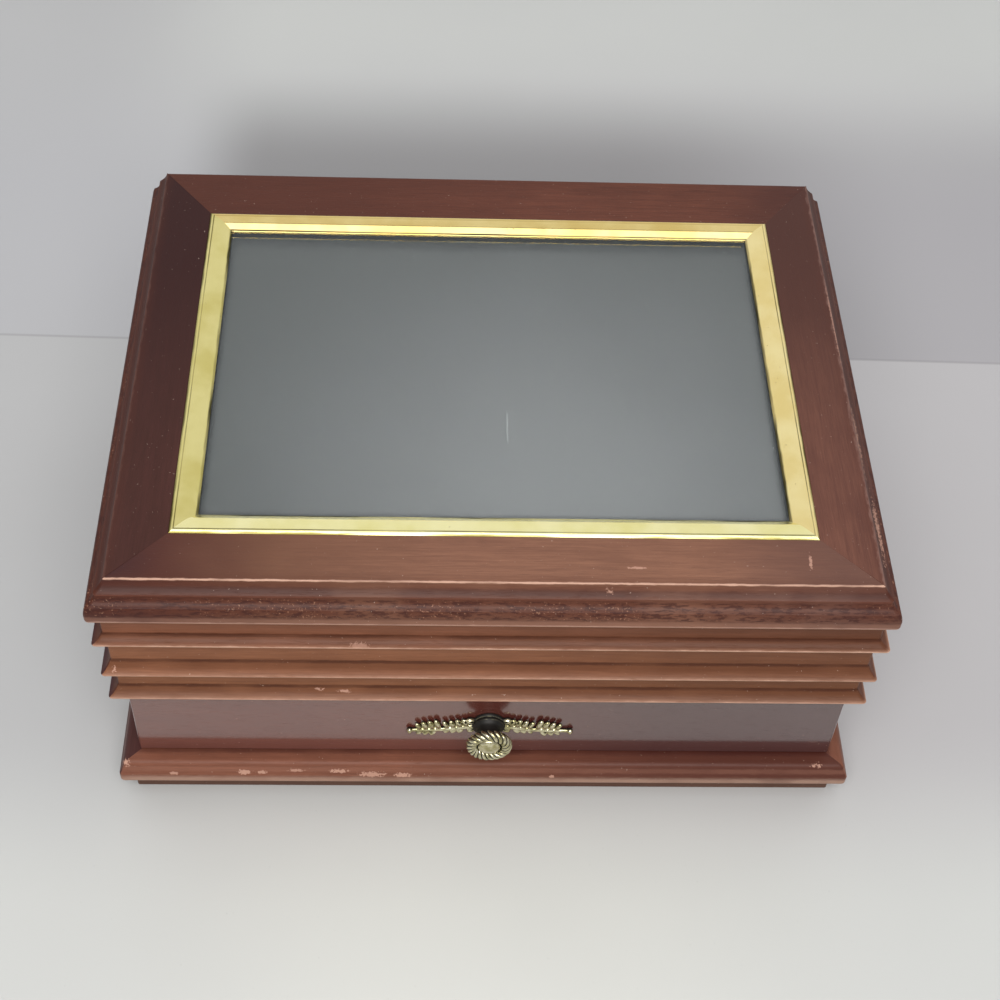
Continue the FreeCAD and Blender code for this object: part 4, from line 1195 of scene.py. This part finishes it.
def make_leaf_plate(finish):
    """Cast plate: boss, curved stems, two clusters of comma leaves on each side and ball tips."""
    shape = Shape()
    for side, reach in ((-1, 24.4), (1, 25.4)):
        stem = [reach * i / 24 for i in range(25)]
        add_tube(shape, [(side * u, stem_w(u), 0.5) for u in stem], [0.95 - 0.25 * i / 24 for i in range(25)])
        ball = [(side * (reach - 1.15 + 2.3 * i / 10), stem_w(reach), 0.75) for i in range(11)]
        add_tube(shape, ball, [max(0.12, 1.2 * math.sin(math.pi * i / 10)) for i in range(11)])
        add_leaves(shape, side, 7.5, (2.5, 2.2, 1.7, 1.1))
        add_leaves(shape, side, 16.0, (1.9, 1.4, 0.8, 0.1))
        for w0, w1, thick in ((0.5, 2.4, 1.1), (-0.8, -3.4, 1.0)):
            add_lobe(shape, (side * 3.0, w0), (side * 5.2, w1), (side * 6.9, w1 * 0.85), thick)
    boss = ((5.0, 0.05), (5.0, 0.5), (4.85, 0.9), (4.5, 1.2), (2.0, 1.24))
    shape.skin([[pull_place(u, w, out) for u, w in circle(radius, 48)] for radius, out in boss])
    piece = shape.made("pull_plate_cast", finish)
    remesh = piece.modifiers.new("union", "REMESH")
    remesh.mode = "VOXEL"
    remesh.voxel_size = CAST_VOXEL * MM
    smooth = piece.modifiers.new("soften", "SMOOTH")
    smooth.factor = 0.5
    smooth.iterations = 2
    apply_modifiers(piece)
    floor = (FRONT - 0.02) * MM
    hollow = []
    facings = [-vertex.normal.y for vertex in piece.data.vertices]
    for vertex, facing in zip(piece.data.vertices, facings):
        vertex.co.y = min(vertex.co.y, floor)
        out = (floor - vertex.co.y) / MM
        # Dark low down near the drawer's face (patina), painted shade on faces turned away from the front, and painted
        # shade over the boss under the knob, but for a thin ring that is a painted highlight.
        depth = 1.2 - out / 0.95 + (0.5 - facing) * 0.9
        radius = math.hypot(vertex.co.x / MM, vertex.co.z / MM - PULL_AXIS)
        if radius < 5.2:
            depth = max(depth, 0.5 if 4.6 < radius < 4.75 else 1.0)
        hollow.append(max(0.0, min(1.0, depth)))
    piece.data.shade_smooth()
    mark(piece.data, "hollow", hollow)
    stand_for(piece, "pull_leaf_plate")


# ---- soft pieces


def cushion(name, node, finish, radius, cells, bulge, wrinkle, seed):
    """Rounded, slightly crowned pad inside its node's box, with small wrinkles."""
    lo, hi = low(node), high(node)
    inset = 0.12
    size = hi - lo
    steps = [max(3, int(length / cells)) for length in size]
    shape, numbers = Shape(), {}

    def number_of(key):
        if key in numbers:
            return numbers[key]
        share = Vector([key[i] / steps[i] for i in range(3)])
        point = Vector([lo[i] + inset + (size[i] - 2 * inset) * share[i] for i in range(3)])
        core = Vector([min(max(point[i], lo[i] + inset + radius), hi[i] - inset - radius) for i in range(3)])
        off = point - core
        if off.length > 0:
            point = core + off.normalized() * max(abs(c) for c in off)
        if share.z > 0.5:
            crown = math.sin(math.pi * share.x) * math.sin(math.pi * share.y)
            ripple = noise.noise(Vector((point.x * 0.09, point.y * 0.05 + seed, point.z * 0.12)))
            fine = noise.noise(Vector((point.x * 0.35, point.y * 0.22 + seed, point.z * 0.3)))
            point.z -= (1 - crown) * bulge + wrinkle * (0.5 + 0.5 * ripple) + wrinkle * 0.35 * (0.5 + 0.5 * fine)
        numbers[key] = len(shape.points)
        shape.points.append(point)
        return numbers[key]

    for axis in range(3):
        first, second = [i for i in range(3) if i != axis]
        for side in (0, steps[axis]):
            for a in range(steps[first]):
                for b in range(steps[second]):
                    face = []
                    for da, db in ((0, 0), (1, 0), (1, 1), (0, 1)):
                        key = [side] * 3
                        key[first], key[second] = a + da, b + db
                        face.append(number_of(tuple(key)))
                    shape.faces.append(face)
    piece = shape.made(name, finish)
    piece.modifiers.new("smooth", "SUBSURF").levels = 1
    apply_modifiers(piece)
    piece.data.shade_smooth()
    stand_for(piece, node)


def make_soft_pieces():
    """Velvet lining, dividers, ring rolls and pads."""
    wine = velvet("velvet_wine", "#4d0f1e", "#60172a")
    deep = velvet("velvet_rolls", "#4b0e1d", "#5e1628", 5.0)
    for number in range(1, 5):
        cushion(f"ring_roll_{number}_velvet", f"ring_roll_{number}", deep, 5.5, 1.6, 0.25, 0.3, number * 3.3)
    cushion("lid_panel_velvet", "lid_padded_panel", wine, 2.4, 2.4, 0.0, 0.0, 1.0)
    cushion("compartment_floor_velvet", "compartment_floor_pad", wine, 0.6, 2.6, 0.3, 0.1, 2.0)
    cushion("drawer_floor_velvet", "drawer_pad", wine, 0.6, 2.6, 0.3, 0.1, 6.0)
    for node in ("lining_end_walls", "lining_long_walls", "divider_rings", "divider_cross"):
        softened(node, 0.6, wine, node + "_velvet", 3)


# ---- hardware

RIGHT, UP, DOWN, OUTWARD = Vector((1, 0, 0)), Vector((0, 0, 1)), Vector((0, 0, -1)), Vector((0, -1, 0))
SCREW_OFFSET = 9.5  # of a hinge's screws from the middle of its leaf
SCREW_INSET = 3.5  # of these screws from the back


def spokes(axis, angles):
    across = Vector((axis.y, axis.z, axis.x))
    other = axis.cross(across)
    return [across * math.cos(angle) + other * math.sin(angle) for angle in angles]


def add_turned(shape, base, axis, stations, count=24):
    """Turned piece on an axis. Each station is a distance along it and a radius."""
    wheel = spokes(axis, [math.tau * j / count for j in range(count)])
    shape.skin([[base + axis * distance + spoke * radius for spoke in wheel] for distance, radius in stations])


def add_slotted_pads(shape, base, axis, radius, height, slot, turn):
    """The two half discs beside a screw's slot. They stand on the head, against the axis."""
    limit = math.asin(slot / 2 / radius)
    levels = ((0.02, 1.0), (-height + 0.08, 1.0), (-height, 0.93))
    for side in (0, 1):
        first = turn + side * math.pi + limit
        fan = spokes(axis, [first + (math.pi - 2 * limit) * i / 14 for i in range(15)])
        shape.skin([[base + axis * lift + spoke * radius * shrink for spoke in fan] for lift, shrink in levels])


def screw_set(node, finish, places, axis, stations, slot_height, slot):
    """Slotted screws in place of the node's plain ones. Stations start at the bottom of the slot."""
    shape = Shape()
    for number, place in enumerate(places):
        add_turned(shape, Vector(place), axis, stations)
        add_slotted_pads(shape, Vector(place), axis, stations[0][1], slot_height, slot, 0.5 + number * 1.9)
    stand_for(shape.made(node + "_slotted", finish, 35), node)


def make_screws(plated, steel):
    """Hinge screws, turn-button screws, the pull's screw and the hinge pins."""
    leaf = (low("hinge_leaf_case_left").x + high("hinge_leaf_case_left").x) / 2
    places = [(x + offset, BACK - SCREW_INSET) for x in (leaf, -leaf) for offset in (-SCREW_OFFSET, SCREW_OFFSET)]
    sunk = [(0, 1.75), (0.68, 1.02), (6.6, 0.98), (6.65, 0.3)]
    top = high("hinge_screws_case").z - 0.35
    screw_set("hinge_screws_case", plated, [(x, y, top) for x, y in places], DOWN, sunk, 0.33, 0.55)
    bottom = low("hinge_screws_lid").z + 0.35
    screw_set("hinge_screws_lid", plated, [(x, y, bottom) for x, y in places], UP, sunk, 0.33, 0.55)
    raised = [(0, 2.25), (0.4, 2.25), (0.45, 1.08), (7.7, 1.05), (7.75, 0.3)]
    centres = []
    for facing in FOUR_SIDES:
        lo, hi = low("turn_button_" + facing), high("turn_button_" + facing)
        half = min(hi.x - lo.x, hi.y - lo.y) / 2
        x, y = (lo.x + hi.x) / 2, (lo.y + hi.y) / 2
        x += {"right": 1, "left": -1}.get(facing, 0) * ((hi.x - lo.x) / 2 - half)
        y += {"front": -1, "back": 1}.get(facing, 0) * ((hi.y - lo.y) / 2 - half)
        centres.append((x, y, low("turn_button_screws").z + 0.42))
    screw_set("turn_button_screws", plated, centres, UP, raised, 0.4, 0.6)
    pull = (low("pull_screw") + high("pull_screw")) / 2
    head = high("pull_screw").y - 0.6
    shank = head - low("pull_screw").y - 0.1
    stations = [(0, 2.85), (1.15, 2.95), (1.2, 1.48), (shank, 1.45), (shank + 0.05, 0.4)]
    screw_set("pull_screw", steel, [(pull.x, head, pull.z)], OUTWARD, stations, 0.55, 0.8)

    shape = Shape()
    centre = (low("hinge_pins") + high("hinge_pins")) / 2
    head = [(-0.48, 0.7), (-0.3, 1.1), (-0.03, 1.15)]
    for side in ("left", "right"):
        start, end = low("hinge_leaf_case_" + side).x, high("hinge_leaf_case_" + side).x
        length = end - start
        foot = [(length - distance, radius) for distance, radius in reversed(head)]
        pin = [*head, (0, 0.79), (length, 0.79), *foot]
        add_turned(shape, Vector((start, centre.y, centre.z)), RIGHT, pin)
    stand_for(shape.made("hinge_pins_round", plated, 50), "hinge_pins")


def make_hardware():
    """Hinges, screws and turn buttons."""
    plated = hardware_metal("hinge_brass", "#cfbb84", "#ab945c", 0.42)
    steel = hardware_metal("zinc_steel", "#c4c4c0", "#8c8c88", 0.35)
    for leaf in ("case_left", "case_right", "lid_left", "lid_right"):
        softened("hinge_leaf_" + leaf, 0.12, plated)
    for facing in FOUR_SIDES:
        softened("turn_button_" + facing, 0.2, plated)
    make_screws(plated, steel)


make_camera()
make_light()
make_floor()
make_lid_rails()
make_case_mouldings()
make_boards()
make_brass_strips()
make_window()
antique = antique_brass("antique_brass")
make_knob(antique)
make_leaf_plate(antique)
make_soft_pieces()
make_hardware()
